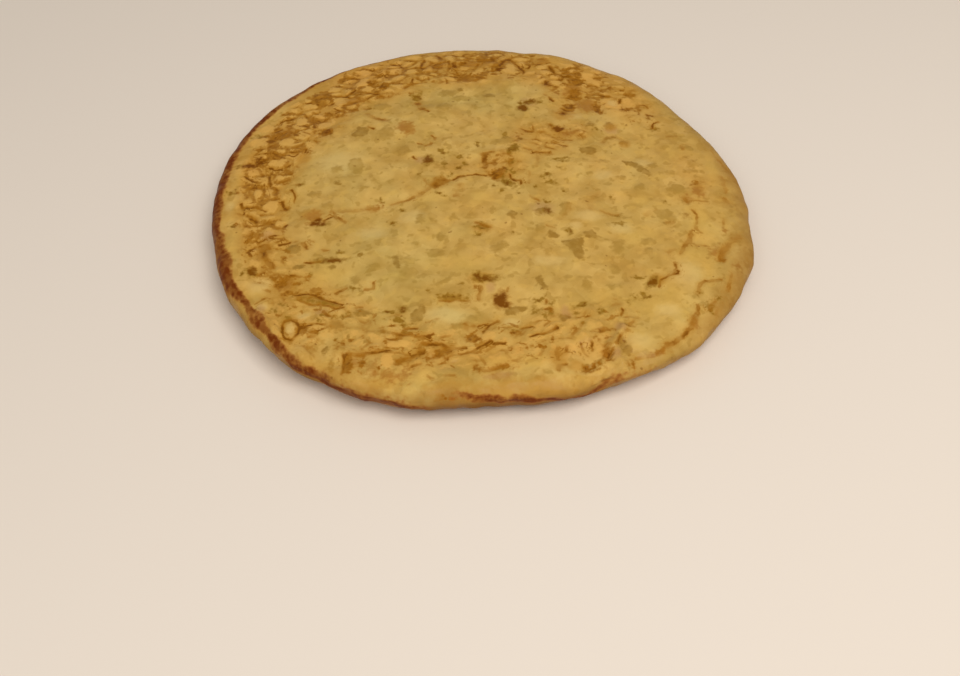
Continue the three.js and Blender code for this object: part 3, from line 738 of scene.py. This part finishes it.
# Rosy patches are the egg's own grey-pink, except the narrow one at (-53.2, -103.5), a painted highlight
# on a brown block at the front left.
ROSY_AND_HIGHLIGHT = [
    (-94.5, -71, 4, 7), (28, 66, 10, 9), (-96, -25, 8, 7), (30, -17, 12, 10), (-68.5, -75, 7, 4),
    (6, -115, 14, 4), (35, -82, 5, 8), (54, -106, 4, 8), (-53.2, -103.5, 2.4, 7), (57, -92, 5, 6),
    (4, -66, 5, 8), (68, 41, 8, 8), (-25, 21, 9, 6),
]
tan, golden, pale, rosy = (clouds_of(patches) for patches in (TANNED, GOLDEN_AND_LIT, PALE_AND_SHEEN, ROSY_AND_HIGHLIGHT))
print("patches:", len(TANNED), "tanned,", len(GOLDEN_AND_LIT), "golden,", len(PALE_AND_SHEEN), "pale,", len(ROSY_AND_HIGHLIGHT), "rosy")

# %% Warm and olive egg
DRIFT = 0.2
SLOW_DRIFT = 0.15
WARMING = 0.3
GREENING = 0.28
WARM_EGG = [
    (-52, 101, 44, 20), (50, 88, 60, 24), (77, 62, 24, 24), (-6, 14, 36, 16), (104, 3, 16, 40),
    (-110, 28, 26, 70), (-108, -58, 20, 30), (-92, -75, 26, 20), (-30, -101, 40, 12), (0, -104, 40, 12),
    (42, -105, 40, 14), (30, -86, 24, 12),
]
OLIVE_EGG = [
    (-66, 16, 44, 30), (-4, 70, 50, 26), (-32, -38, 56, 34), (-44, -60, 44, 24), (-46, -81, 14, 12),
    (-14, -83, 26, 12), (82, -104, 24, 14), (-10, -121, 60, 10), (106, -84, 14, 18),
]
hue = 0.5 + DRIFT * lumps(9, 27) + SLOW_DRIFT * lumps(22, 28)
hue += WARMING * clouds_of(WARM_EGG) - GREENING * clouds_of(OLIVE_EGG)
print("hue: from", round(float(hue.min()), 2), "to", round(float(hue.max()), 2))

# %% [markdown]
# ## Potato
#
# Where a piece of potato lies just under the skin, it shows through, more olive than the egg round it.
# Most pieces are small enough to pass for ovals. A slice is cut straight where its corners show, so its
# distance comes from its sides, and counting the sides to the right of a point tells whether it lies
# inside. Some pieces are clear and others, which lie deeper, are faint, so each kind gets a field of its
# own.

# %% Distance to a slice
def to_slice(*corners):
    """Distance in mm to the edge of a straight-sided slice."""
    closed = (*corners, corners[0])
    inside = np.zeros(len(points), bool)
    nearest = np.full(len(points), np.inf)
    for start, end in zip(closed, closed[1:]):
        along, aside, length = to_segment(start, end)
        nearest = np.minimum(nearest, np.hypot(aside, along - np.clip(along, 0, length)))
        if start[1] != end[1]:
            passes = (start[1] > mark_y) != (end[1] > mark_y)
            slant = (end[0] - start[0]) / (end[1] - start[1])
            inside ^= passes & (mark_x < start[0] + (mark_y - start[1]) * slant)
    return np.where(inside, -nearest, nearest)


def potato_of(ovals, slices):
    """All potato of two lists as one field."""
    distances = [to_spot(*oval) for oval in ovals] + [to_slice(*corners) for corners in slices]
    return field(*distances) * on_top


square = to_slice((-5, -5), (5, -5), (5, 5), (-5, 5))
print("a slice 10 mm square covers", int((on_top[square < 0] > 0.5).sum()), "points of the top")

# %% Clear potato
CLEAR_POTATO = [
    (8.5, 73.5, 6, 3.5), (-5.8, 80, 2.6, 3), (-83, -36, 7, 6), (-64.8, 8.6, 3.6, 3),
    (15.8, -21.5, 4, 4.6), (28.5, -19, 4, 4), (55, 24, 8, 6), (86, -28.7, 5, 2), (-65.5, -48.3, 3.5, 2.4),
    (-79.5, -47.5, 5, 3), (-36.7, -48.5, 3, 8, 10), (-27, -80.5, 5, 10, -25), (-51, -77, 8, 4),
    (14, -79.7, 9, 4, 15), (34.3, -85.5, 4.5, 4.4), (-42.5, -88.5, 4, 2), (-66, -96, 2.4, 3),
    (-63.5, -104, 2.6, 6), (-56, -90, 1.4, 3), (-48, -93, 2, 3), (56.5, -99.5, 3.4, 6, 18),
    (58.5, -104, 4, 5), (42, -111.5, 7, 4, 20), (46, -109.5, 4, 3), (57, 44.5, 4, 2.6), (67, 44, 5, 5),
    (72.5, 29.5, 5, 3, -30), (66, 34.5, 6, 2, 20),
]
CLEAR_SLICES = [
    ((-57, 51.5), (-51.5, 50), (-52.5, 44), (-58, 43.5), (-60.5, 45.5)),
    ((32.5, -32), (37, -37), (31.3, -37.5)),
    ((71, 15.5), (75, 14.5), (78.5, 11), (82.5, 5), (80.5, 2.8), (78, 4.5), (75, 10), (71.5, 12.5)),
    ((47, -34), (50.5, -33), (54, -38.5), (47.5, -38.5)),
    ((36.5, -39.5), (46, -39), (45.5, -52), (42, -50), (39, -45)),
    ((26, -60.8), (27.5, -66), (28.4, -70), (26.8, -69.5), (24, -64.5), (23.5, -62.5)),
    ((-80.5, -64), (-72, -64.8), (-67, -68.5), (-59.5, -72.3), (-62.5, -73.8), (-67.5, -71.5),
     (-73, -69.8), (-78, -66.8)),
]
potato = potato_of(CLEAR_POTATO, CLEAR_SLICES)
print("clear potato:", len(CLEAR_POTATO), "ovals and", len(CLEAR_SLICES), "slices")

# %% Faint potato
FAINT_POTATO = [
    (-5, 72, 10, 5), (-14, 64.5, 7, 6), (1.5, 63, 3, 5), (-46, 68, 8, 6), (-12, 77, 10, 6),
    (-43, 44, 8, 9), (-66, 19, 6, 5), (-57, 21, 8, 10), (-76, 1.5, 6, 4), (-69, -7, 5, 4),
    (-77, -4, 4, 2.5), (-53, 4, 4, 2), (-26, -22, 4, 6), (-17, -34, 3, 4.5), (-28, -37, 4, 2),
    (-19, -43.5, 8, 6), (9, -41.5, 9, 5, 30), (28, -31, 5, 6), (68, 3, 5, 3), (61, 15.5, 5, 2),
    (54, 7, 4, 3), (92, 6.5, 5, 3), (93, -6, 8, 8), (81, 28, 2, 2.4), (103, 25, 5, 5), (103.5, 13, 6, 6),
    (102, 7.5, 8, 3), (97, 35, 6, 2), (92, 26, 4, 3), (75, -41.5, 8, 4), (74.5, -47.5, 4, 4),
    (45.7, -67, 4, 6.5), (58.3, -57.5, 3.4, 7), (56, -68.5, 5, 2), (-10, -87.5, 6, 3),
    (-4, -83.5, 4, 2.4), (-47, -51, 5, 4), (-54.5, -57, 4, 6), (-40, 7, 4, 2.4), (15, 34, 9, 7),
    (-34, 30, 6, 8), (84, 12, 5, 4), (76, -5, 5, 4),
]
FAINT_SLICES = [
    ((-20, -64), (-11, -57.5), (-14, -62), (-18, -64.5)),
    ((59, -41), (64.5, -40.5), (62, -48), (59, -49)),
    ((38, -15.5), (43, -14.5), (41, -22.5), (37, -24.5)), ((-51, 13.5), (-49, 13.5), (-46, 6), (-48, 6)),
    ((88, -20), (80, -20.5), (82, -26), (90, -28)),
]
faint_potato = potato_of(FAINT_POTATO, FAINT_SLICES)
print("faint potato:", len(FAINT_POTATO), "ovals and", len(FAINT_SLICES), "slices")

# %% [markdown]
# ## The browned rim
#
# The pan's wall browned the shoulder most where the omelette stood against it, at the left and round to
# the front. There a red-brown band runs along the edge of the top, now broad, now a thin line, with pale
# egg below it. Round the right it fades out. Lower down the side is browned and darkened with painted
# shade where it turns under, and at the right the painted shade reaches in over the shoulder's outer
# edge. Each point's `inset` is how far it lies in from the edge, or below the widest line if minus, and
# the band is laid along it.

# %% How far in from the edge
WIDEST_LEVEL = 11.5
EDGE_STEP = 2
EDGE_WINDOW = 1.5

headings = np.arange(-180, 181, EDGE_STEP)
edge = [across[np.abs((azimuth - heading + 180) % 360 - 180) < EDGE_WINDOW].max() for heading in headings]
inset = np.where(z > WIDEST_LEVEL, np.interp(azimuth, headings, edge) - across, z - WIDEST_LEVEL)
print("edge:", round(min(edge), 1), "to", round(max(edge), 1), "mm out")

# %% Rim and side
BAND_EDGE = (0.3, 1.6)  # half widths from the band's middle over which it fades
BAND_WANDER = 0.9
BAND_FINE_WANDER = 0.6
BAND_SWELL = 0.35
TAN_INSET = 2.0
TAN_SPREAD = 8.0
SIDE_START = -3.0
SIDE_WANDER = 1.5
BAND = [
    # azimuth; inset of the band's middle, its half width and its strength;
    # browning and painted shade below it and how far in that reaches; tan inside it
    (-180, 2.3, 3.4, 1.0, 0.6, 4, 0.8), (-172, 2.2, 3.0, 1.0, 0.6, 4, 0.5),
    (-166, 3.2, 3.4, 1.0, 0.7, 4, 0.4), (-160, 3.4, 3.4, 1.0, 0.7, 4, 0.4),
    (-155, 2.8, 2.9, 0.9, 0.7, 4, 0.6), (-150, 3.4, 1.7, 1.0, 0.75, 3, 0.5),
    (-147, 3.8, 1.7, 1.0, 0.75, 3, 0.5), (-142, 3.4, 3.0, 1.0, 0.75, 3, 0.5),
    (-138, 3.0, 1.6, 1.0, 0.75, 3, 0.6), (-132, 2.2, 2.0, 0.95, 0.7, 3, 0.7),
    (-125, -0.2, 2.5, 0.8, 0.75, 3, 0.9), (-120, -1.4, 2.6, 0.95, 0.8, 3, 0.8),
    (-115, -2.2, 2.7, 1.0, 0.8, 3, 0.7), (-105, -2.2, 2.6, 0.9, 0.8, 3, 0.6),
    (-100, -3.0, 2.2, 0.4, 0.9, 5, 0.6), (-97, 1.0, 1.2, 0.3, 1.0, 7, 0.8),
    (-95, 1.8, 1.1, 0.6, 1.0, 5, 0.8), (-92, 0.3, 1.0, 0.7, 1.0, 3, 0.9),
    (-88, -0.7, 1.6, 0.9, 1.0, 2, 1.0), (-84, -0.9, 1.8, 1.0, 1.0, 2, 1.0),
    (-79, -1.2, 1.6, 0.95, 1.0, 2, 0.9), (-75, -3.4, 2.0, 0.8, 0.9, 3, 0.8),
    (-70, -3.0, 2.0, 0.6, 0.8, 3, 0.6), (-66, 0.6, 1.8, 0.6, 0.7, 3, 0.5),
    (-62, 0.0, 1.4, 0.4, 0.6, 4, 0.4), (-50, 0.0, 1.4, 0.1, 0.35, 7, 0.3),
    (-38, 0.0, 1.4, 0.15, 0.6, 14, 0.6), (-25, 0.0, 1.4, 0.2, 0.65, 16, 0.7),
    (-15, 0.0, 1.4, 0.2, 0.55, 16, 0.5), (5, 0.0, 1.6, 0.2, 0.65, 16, 0.6),
    (15, 0.4, 1.6, 0.2, 0.5, 14, 0.3), (25, 0.8, 1.6, 0.3, 0.55, 11, 0.2),
    (60, 0.8, 1.6, 0.35, 0.5, 8, 0.2), (80, 1.6, 1.6, 0.4, 0.5, 5, 0.3),
    (100, 2.4, 1.5, 0.5, 0.5, 4, 0.3), (120, 3.0, 1.5, 0.7, 0.55, 4, 0.5),
    (133, 4.0, 1.8, 0.85, 0.6, 4, 0.6), (146, 4.4, 2.3, 0.9, 0.6, 4, 0.6),
    (155, 2.3, 2.7, 1.0, 0.6, 4, 0.7), (165, 2.3, 3.4, 1.0, 0.6, 4, 1.0),
    (172, 2.6, 4.0, 1.0, 0.6, 4, 1.0), (180, 2.3, 3.4, 1.0, 0.6, 4, 0.8),
]

band_azimuths, *columns = np.array(BAND).T
columns = [np.interp(azimuth, band_azimuths, column) for column in columns]
band_inset, band_half, band_strength, below, below_reach, tan_inside = columns

# Noise makes the band wander, swell and break.
band_inset = band_inset + BAND_WANDER * lumps(9, 14) + BAND_FINE_WANDER * lumps(4, 15)
band_half = band_half * (1 + BAND_SWELL * lumps(8, 16))
rim = (1 - ramp(*BAND_EDGE, np.abs(inset - band_inset) / band_half)) * band_strength
rim = np.clip(rim * (1 + 0.25 * lumps(11, 17) + 0.3 * lumps(4, 25)), 0, 1)

# Inside the band the top is tanned. Below it the side is browned and darkened with painted shade, which
# at the right reaches in over the shoulder's outer edge.
rim_tan = tan_inside * np.exp(-(((inset - TAN_INSET) / TAN_SPREAD) ** 2))
tan = np.maximum(tan, rim_tan * (0.85 + 0.5 * lumps(9, 18)))
side_browning_and_shade = (1 - ramp(SIDE_START, below_reach, inset + SIDE_WANDER * lumps(7, 19))) * below
print("rim: browned over", round(100 * float((rim > 0.5).mean()), 1), "% of the skin")

# %% [markdown]
# ## Relief
#
# Now the marks also get their depth, so that they show from low down, not only in the colour. Flakes
# stand a little proud and their brown borders sink, scorches and lines are sunk, and potato pushes the
# skin up. Small bumps and mounds make the front rim uneven, and a few ridges and pits fold it. The points
# move along their own normals, and not at all at the flat underside.

# %% Folds of the front
RIDGES = [
    # width, share of the full rise, stops
    (3.5, 1.0, (58.5, -91), (55.5, -97), (52.4, -102), (54, -107), (56, -113)),
    (3.0, 0.7, (49, -116), (46.5, -119), (44, -121.5)), (3.0, 0.6, (-96, -72), (-90, -80), (-84, -88)),
]
MOUNDS = [
    (-25, -114.5, 9, 14), (-14, -113, 7, 10), (7.4, -108, 12, 9), (19.6, -108.7, 12, 10),
    (16, -119, 26, 7), (-60, -112, 12, 8, -20), (-76, -98, 12, 8, -40), (62, -98, 14, 10),
    (80, -84, 14, 14),
]
PITS = [
    (57.3, -101, 3.6, 8, 18), (50.8, -106, 4, 6), (43, -111.5, 10, 4, 20), (50, -119, 8, 4, 22),
]
print("folds:", len(RIDGES), "ridges,", len(MOUNDS), "mounds and", len(PITS), "pits")

# %% Raise and sink the skin
# Heights in mm
BUMPS = 0.4
FINE_BUMPS = 0.12
FRONT_BUMPS = 0.8
SIDE_LUMPS = 0.5
FLAKE_RISE = 0.4
BORDER_SINK = 0.6 * FLAKE_RISE
LINE_DEPTH = 0.4
SPOT_DEPTH = 0.2
POTATO_RISE = 0.25
RIDGE_RISE = 1.9
MOUND_RISE = 0.9
PIT_DEPTH = 1.6
BASE_FADE = 4.0

# Where a ramp starts and ends
FRONT = (70, 95)  # mm to the front of the middle
ABOVE_BASE = (-0.95, -0.6)  # of facing up
LEVEL = (0.1, 0.8)  # of facing up or down
RIDGED = (0.4, 0.8)  # of facing up
BESIDE_LINE = (0.5, 2.2)  # half widths
SPOT_EDGE = (0.4, 0.65)
POTATO_EDGE = (0.35, 0.7)

at_front = ramp(*FRONT, -y) * ramp(*ABOVE_BASE, up)
on_side = 1 - ramp(*LEVEL, np.abs(up))
lift = BUMPS * lumps(7, 21) + FINE_BUMPS * lumps(2.6, 22) + FRONT_BUMPS * lumps(6, 26) * at_front
lift += SIDE_LUMPS * lumps(15, 23, stretch=(1, 1, 0.5)) * on_side
lift += FLAKE_RISE * flake - BORDER_SINK * flaky
lift -= LINE_DEPTH * line_strength * (1 - ramp(*BESIDE_LINE, np.abs(line_reach)))
lift -= SPOT_DEPTH * ramp(*SPOT_EDGE, np.maximum(toast, scorch))
lift += POTATO_RISE * ramp(*POTATO_EDGE, np.maximum(potato, faint_potato))
for ridge in RIDGES:
    signed, strength = to_line(*ridge)
    lift += RIDGE_RISE * strength * np.exp(-(signed**2)) * ramp(*RIDGED, up)
lift += MOUND_RISE * clouds_of(MOUNDS)
lift -= PIT_DEPTH * clouds_of(PITS)
lift *= ramp(0, BASE_FADE, z)

moved = points + facing * lift[:, None]
skin.vertices.foreach_set("co", (moved * MM).ravel())
skin.polygons.foreach_set("use_smooth", np.ones(len(skin.polygons), bool))
skin.update()
print("relief: from", round(float(lift.min()), 2), "to", round(float(lift.max()), 2), "mm")

# %% [markdown]
# ## Fields for the material
#
# A material can read a named attribute of the mesh. Each field becomes one, a number on every point,
# which Blender blends across the faces. A UV map is laid as well, for anyone who bakes the finish: one
# large disc for the top and the shoulder, and a smaller one for the lower side and the underside.

# %% Attributes
FACING_DOWN = (0.5, 0.9)
# The golden, pale and rosy patches, a few toasted spots and smudges, and the browning of the lower side
# also carry painted light and shade.
FIELDS = {
    "ground": ground,
    "flake": flake,
    "brown": brown,
    "lace_reach": lace_reach,
    "lace_strength": lace_strength,
    "scorch": scorch,
    "toast": toast,
    "smudge": smudge,
    "warm": warm,
    "line_reach": line_reach,
    "line_strength": line_strength,
    "tan": tan,
    "golden": golden,
    # pale: paler egg and a painted sheen
    "pale": pale,
    "rosy": rosy,
    "hue": hue,
    "potato": potato,
    "faint_potato": faint_potato,
    "rim": rim,
    "side_browning_and_shade": side_browning_and_shade,
    "underside": ramp(*FACING_DOWN, -up),
}
for name, values in FIELDS.items():
    layer = skin.attributes.new(name, "FLOAT", "POINT")
    layer.data.foreach_set("value", values.astype(np.float32))
print("fields:", ", ".join(FIELDS))

# %% Map
EDGE_LEVEL = 17.0
DISC_RADIUS = 140.0
TOP_DISC = {"middle": 0.385, "radius": 0.38}
BASE_DISC = {"middle": 0.80, "radius": 0.19}

loops = np.empty(len(skin.loops), int)
skin.loops.foreach_get("vertex_index", loops)
face_of_loop = np.repeat(np.arange(len(skin.polygons)), [len(face.vertices) for face in skin.polygons])
face_level = np.bincount(face_of_loop, weights=z[loops]) / np.bincount(face_of_loop)
is_top = (face_level > WIDEST_LEVEL)[face_of_loop]
down_the_side = np.where(is_top, np.maximum(0, EDGE_LEVEL - z[loops]), z[loops])
share_out = (across[loops] + down_the_side) / DISC_RADIUS
around = np.radians(azimuth[loops])
disc_middle = np.where(is_top, TOP_DISC["middle"], BASE_DISC["middle"])
disc_radius = np.where(is_top, TOP_DISC["radius"], BASE_DISC["radius"]) * share_out
across_map = disc_middle + disc_radius * np.cos(around)
up_map = disc_middle + disc_radius * np.sin(around)
unfolded = skin.uv_layers.new(name="OFBake")
unfolded.uv.foreach_set("vector", np.stack((across_map, up_map), axis=1).ravel())
print("map: from", round(float(across_map.min()), 3), "to", round(float(across_map.max()), 3))

# %% [markdown]
# ## Shader sums in Python
#
# A node tree of any size is hard to read as a list of links. This small class wraps one socket, and its
# operators add the Math nodes, so that a mask is written as a sum. Colours go through `blend`, `glaze`
# and `times`, since a Math node would turn them grey, and every other node comes from `node`.

# %% Wrap a socket
class Wire:
    """One output socket of a node tree, which can be used in sums."""

    def __init__(self, tree, socket=None):
        self.tree = tree
        self.socket = socket

    def node(self, kind, settings, sockets, output=0):
        """A node of that kind: settings first, then a value or a wire for each of its sockets."""
        made = self.tree.nodes.new(kind)
        for name, value in settings.items():
            setattr(made, name, value)
        for name, value in sockets.items():
            if isinstance(value, Wire):
                self.tree.links.new(value.socket, made.inputs[name])
            else:
                made.inputs[name].default_value = value
        return Wire(self.tree, made.outputs[output])

    def math(self, operation, first, second):
        """A Math node on two numbers or wires."""
        return self.node("ShaderNodeMath", {"operation": operation}, {0: first, 1: second})

    def __add__(self, other):
        return self.math("ADD", self, other)

    def __radd__(self, other):
        return self.math("ADD", other, self)

    def __sub__(self, other):
        return self.math("SUBTRACT", self, other)

    def __rsub__(self, other):
        return self.math("SUBTRACT", other, self)

    def __mul__(self, other):
        return self.math("MULTIPLY", self, other)

    def __rmul__(self, other):
        return self.math("MULTIPLY", other, self)

    def size(self):
        """This number without its sign."""
        return self.math("ABSOLUTE", self, 0.0)

    def step(self, low, high):
        """A smooth step from 0 where this is at low to 1 where it is at high."""
        sockets = {"Value": self, "From Min": low, "From Max": high}
        return self.node("ShaderNodeMapRange", {"interpolation_type": "SMOOTHSTEP"}, sockets)

    def blend(self, under, over):
        """The colour under, covered by the colour over as far as this mask is 1."""
        return self.node("ShaderNodeMix", {"data_type": "RGBA"}, {0: self, 6: under, 7: over}, 2)

    def glaze(self, tone, mask, cover):
        """This colour under a glaze of a tone, which covers that share of it where the mask is 1."""
        return (mask * cover).blend(self, tone)

    def times(self, tint, share=1.0):
        """This colour multiplied by a tint, as far as the share goes."""
        settings = {"data_type": "RGBA", "blend_type": "MULTIPLY"}
        return self.node("ShaderNodeMix", settings, {0: share, 6: self, 7: tint}, 2)


print("wire:", ", ".join(name for name in vars(Wire) if not name.startswith("_")))

# %% [markdown]
# ## The skin's finish
#
# The finish is laid on in the order that it comes about: egg, what lies under its skin, what is tanned,
# what is toasted and what is scorched. A painter would stack glazes in the same way. Each field is cut
# off near its edge, which fine noise frays, and the cut is the mask through which the next colour covers
# the last.

# %% Start the material
skin_finish = bpy.data.materials.new("omelette skin")
skin_finish.use_nodes = True
tree = skin_finish.node_tree
loose_end = Wire(tree)
place = loose_end.node("ShaderNodeTexCoord", {}, {}, "Object")


def grain(span, detail=2.0, output="Fac"):
    """Cloudy noise about a mean of 0.5, with clouds about `span` mm wide."""
    sockets = {"Vector": place, "Scale": 1 / (span * MM), "Detail": detail}
    return loose_end.node("ShaderNodeTexNoise", {}, sockets, output)


def kept(name):
    """The skin's field of that name."""
    return loose_end.node("ShaderNodeAttribute", {"attribute_name": name}, {}, "Fac")


def cells(span, bend, output):
    """Cells about `span` mm wide, their edges bent by up to about half of `bend` mm."""
    sockets = {0: grain(span * 0.6, output="Color"), 1: (bend * MM,) * 3, 2: place}
    bent = loose_end.node("ShaderNodeVectorMath", {"operation": "MULTIPLY_ADD"}, sockets)
    return loose_end.node("ShaderNodeTexVoronoi", {}, {"Vector": bent, "Scale": 1 / (span * MM)}, output)


fray = grain(2.0, detail=3.0) - 0.5


def frayed(name, by):
    """The skin's field of that name, its edges frayed by fine noise."""
    return kept(name) + by * fray


print("material:", skin_finish.name)

# %% [markdown]
# ### Egg and potato
#
# The base is set egg, in patches of a deeper and a lighter yellow, with the cut edges of small potato
# slices. The golden, pale and rosy patches come over it, and the flakes on their tanned ground. These
# patches also carry painted light: lit mound tops and a bright shoulder, a sheen, and one highlight.
# Potato that shows through darkens it, and the drift of hue tints all of this at once.

# %% Egg
EGG_DEEP = colour(178, 138, 64)
EGG_LIGHT = colour(205, 166, 90)
EGG_GOLD_AND_LIT = colour(208, 166, 82)
EGG_PALE_AND_SHEEN = colour(208, 174, 104)
EGG_ROSY_AND_HIGHLIGHT = colour(178, 134, 82)
LACE_GROUND = colour(188, 136, 54)
FLAKE_TONE = colour(208, 160, 80)
FAINT_POTATO_TONE = colour(166, 127, 54)

lightness = 0.3 * cells(9, 7, "Color").step(0.3, 0.7) + 0.3 * grain(7, detail=1.0).step(0.4, 0.6)
lightness = lightness + 0.4 * grain(20, detail=1.0).step(0.4, 0.6)
egg = lightness.blend(EGG_DEEP, EGG_LIGHT)
egg = egg.glaze(EGG_GOLD_AND_LIT, grain(5, detail=1.0).step(0.55, 0.68), cover=0.35)
egg = egg.glaze(FAINT_POTATO_TONE, grain(3.8, detail=1.0).step(0.59, 0.69), cover=0.55)
# Golden patches: golden egg, and painted light on lit mound tops and the right shoulder.
egg = egg.glaze(EGG_GOLD_AND_LIT, kept("golden").step(0.1, 0.9), cover=0.55)
egg = egg.glaze(LACE_GROUND, kept("ground"), cover=0.75)
egg = egg.glaze(FLAKE_TONE, frayed("flake", by=1.0).step(0.3, 0.8), cover=0.8)
# Pale patches: paler egg, and a painted sheen.
egg = egg.glaze(EGG_PALE_AND_SHEEN, frayed("pale", by=0.4).step(0.15, 0.9), cover=0.65)
# Rosy patches: grey-pink egg, and one painted highlight.
egg = egg.glaze(EGG_ROSY_AND_HIGHLIGHT, frayed("rosy", by=0.6).step(0.15, 0.9), cover=0.6)
print("egg:", len(tree.nodes), "nodes")

# %% Potato under the skin, and the drift of hue
POTATO_TONE = colour(150, 110, 40)
OLIVE_TINT = (0.94, 1.03, 1.07, 1.0)
WARM_TINT = (1.08, 0.975, 0.88, 1.0)

depth = 0.65 + grain(4).step(0.35, 0.65) * 0.35
egg = egg.glaze(FAINT_POTATO_TONE, frayed("faint_potato", by=0.6).step(0.36, 0.62), cover=0.8 * depth)
egg = egg.glaze(POTATO_TONE, frayed("potato", by=0.5).step(0.38, 0.58), cover=0.9 * depth)
egg = egg.times(kept("hue").blend(OLIVE_TINT, WARM_TINT))
print("with potato:", len(tree.nodes), "nodes")

# %% [markdown]
# ### Browning
#
# Each kind of browning is laid twice or more, first wide and weak, then narrow and strong, so that a mark
# has a soft halo and a dark heart. A line's mask is 1 minus a step of its distance without its sign.
# Scorches come last, as nothing covers them.

# %% Tan, smudges and the lower side
TANNED_TONE = colour(176, 123, 42)
SMUDGED = colour(164, 110, 40)
SMUDGED_OLIVE = colour(160, 117, 46)
SIDE_BROWN_AND_SHADE = colour(124, 80, 30)

egg = egg.glaze(TANNED_TONE, frayed("tan", by=0.6).step(0.15, 0.85), cover=0.65)
# Smudges, and painted shade in two pits at the front right.
smudge_tone = kept("warm").blend(SMUDGED_OLIVE, SMUDGED)
egg = egg.glaze(smudge_tone, frayed("smudge", by=1.2).step(0.24, 0.76), cover=0.85 * depth)
# The side below the widest line: partly browning, partly painted shade where the edge turns under; at the
# right the painted shade runs in over the shoulder.
egg = egg.glaze(SIDE_BROWN_AND_SHADE, kept("side_browning_and_shade"), cover=0.85)
print("with tan:", len(tree.nodes), "nodes")

# %% Toast
TOASTED = colour(152, 96, 14)
TOASTED_OLIVE = colour(142, 101, 20)
TOASTED_DARK = colour(116, 66, 2)

underside = kept("underside") * (grain(9, detail=3.0) + 0.4 * fray).step(0.46, 0.56)
brown_edge = frayed("brown", by=0.8)
egg = egg.glaze(TOASTED, brown_edge.step(0.42, 0.56) + underside, cover=0.7)
egg = egg.glaze(TOASTED_DARK, brown_edge.step(0.56, 0.75) * grain(3.4).step(0.4, 0.6), cover=0.7)
# Toast, and painted shade in two pits at the front right.
toast_edge = frayed("toast", by=0.9)
toast_tone = kept("warm").step(0.05, 0.4).blend(TOASTED_OLIVE, TOASTED)
toasted = toast_edge.step(0.40, 0.58) * (0.65 + grain(2.8).step(0.35, 0.6) * 0.35)
egg = egg.glaze(toast_tone, toast_edge.step(0.24, 0.52), cover=0.3)
egg = egg.glaze(toast_tone, toasted, cover=0.88)
egg = egg.glaze(TOASTED_DARK, toast_edge.step(0.52, 0.72) * grain(3.4).step(0.4, 0.62), cover=0.8)
print("with toast:", len(tree.nodes), "nodes")

# %% Lace and lines
DARKEST = {"lace": 0.75, "line": 0.85}

for name, darkest in DARKEST.items():
    reach = kept(name + "_reach").size() + 2.4 * fray
    strength = kept(name + "_strength") * (0.55 + 0.9 * grain(3.0))
    egg = egg.glaze(TANNED_TONE, (1 - reach.step(1.0, 4.0)) * strength, cover=0.5)
    egg = egg.glaze(TOASTED, (1 - reach.step(0.6, 1.6)) * strength.step(0.0, 0.9), cover=0.9)
    egg = egg.glaze(TOASTED_DARK, (1 - reach.step(0.2, 1.0)) * strength.step(0.55, 0.95), cover=darkest)
print("with lines:", len(tree.nodes), "nodes")

# %% Rim, scorches and specks
RIM_ORANGE = colour(160, 100, 38)
RIM_BROWN = colour(108, 46, 3)
SCORCHED = colour(116, 64, 2)
SCORCHED_OLIVE = colour(120, 71, 3)

rim_edge = frayed("rim", by=0.8)
rim_cover = 0.58 + grain(4, detail=3.0).step(0.35, 0.6) * 0.4
egg = egg.glaze(RIM_ORANGE, rim_edge.step(0.2, 0.65), cover=0.8)
egg = egg.glaze(RIM_BROWN, rim_edge.step(0.4, 0.95), cover=rim_cover)
scorch_edge = frayed("scorch", by=0.6)
scorch_tone = kept("warm").step(0.05, 0.4).blend(SCORCHED_OLIVE, SCORCHED)
egg = egg.glaze(toast_tone, scorch_edge.step(0.22, 0.50), cover=0.6)
egg = egg.glaze(scorch_tone, scorch_edge.step(0.40, 0.64), cover=0.97)
speck = 1 - cells(6, 3, "Distance").step(0.07, 0.13)
egg = egg.glaze(TOASTED_DARK, speck * cells(6, 3, "Color").step(0.66, 0.7), cover=0.5)
egg = egg.times(grain(2.6, detail=4.0).step(0.25, 0.6), share=0.05)
print("with scorches:", len(tree.nodes), "nodes")

# %% [markdown]
# ### Oil and pores
#
# A film of oil from the pan makes the skin shine in patches, so the coat is thick in some places and
# absent in others, while toast is a little rougher. Pores too small to model are a fine bump.

# %% Oil, pores and the shader
SPECULAR_LEVEL = 0.05
OIL_ROUGHNESS = 0.22
OIL_WEIGHT = 0.09
PORE_STRENGTH = 0.25
PORE_DEPTH = 0.35 * MM

oil = grain(13, detail=3.0).step(0.42, 0.6)
roughness = 0.55 - 0.15 * oil + 0.1 * toasted
pores = grain(1.3, detail=3.0) + 0.6 * grain(0.5)
pore_sockets = {"Strength": PORE_STRENGTH, "Distance": PORE_DEPTH, "Height": pores}
bump = loose_end.node("ShaderNodeBump", {}, pore_sockets, "Normal")

shader = tree.nodes["Principled BSDF"]
shader.inputs["Specular IOR Level"].default_value = SPECULAR_LEVEL
shader.inputs["Coat Roughness"].default_value = OIL_ROUGHNESS
varied = {"Base Color": egg, "Roughness": roughness, "Coat Weight": OIL_WEIGHT * oil, "Normal": bump}
for name, wire in varied.items():
    tree.links.new(wire.socket, shader.inputs[name])
skin.materials.clear()
skin.materials.append(skin_finish)
print("finish:", len(tree.nodes), "nodes")

# %% [markdown]
# ## Put the piece in its place
#
# The finished skin stands for the solid, which goes on doing the work of collision and weight. It rides
# on the part's one body, and the solid itself is hidden.

# %% Dress the part
omelette = new_object("omelette", skin)
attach(omelette, "root")
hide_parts("tortilla")
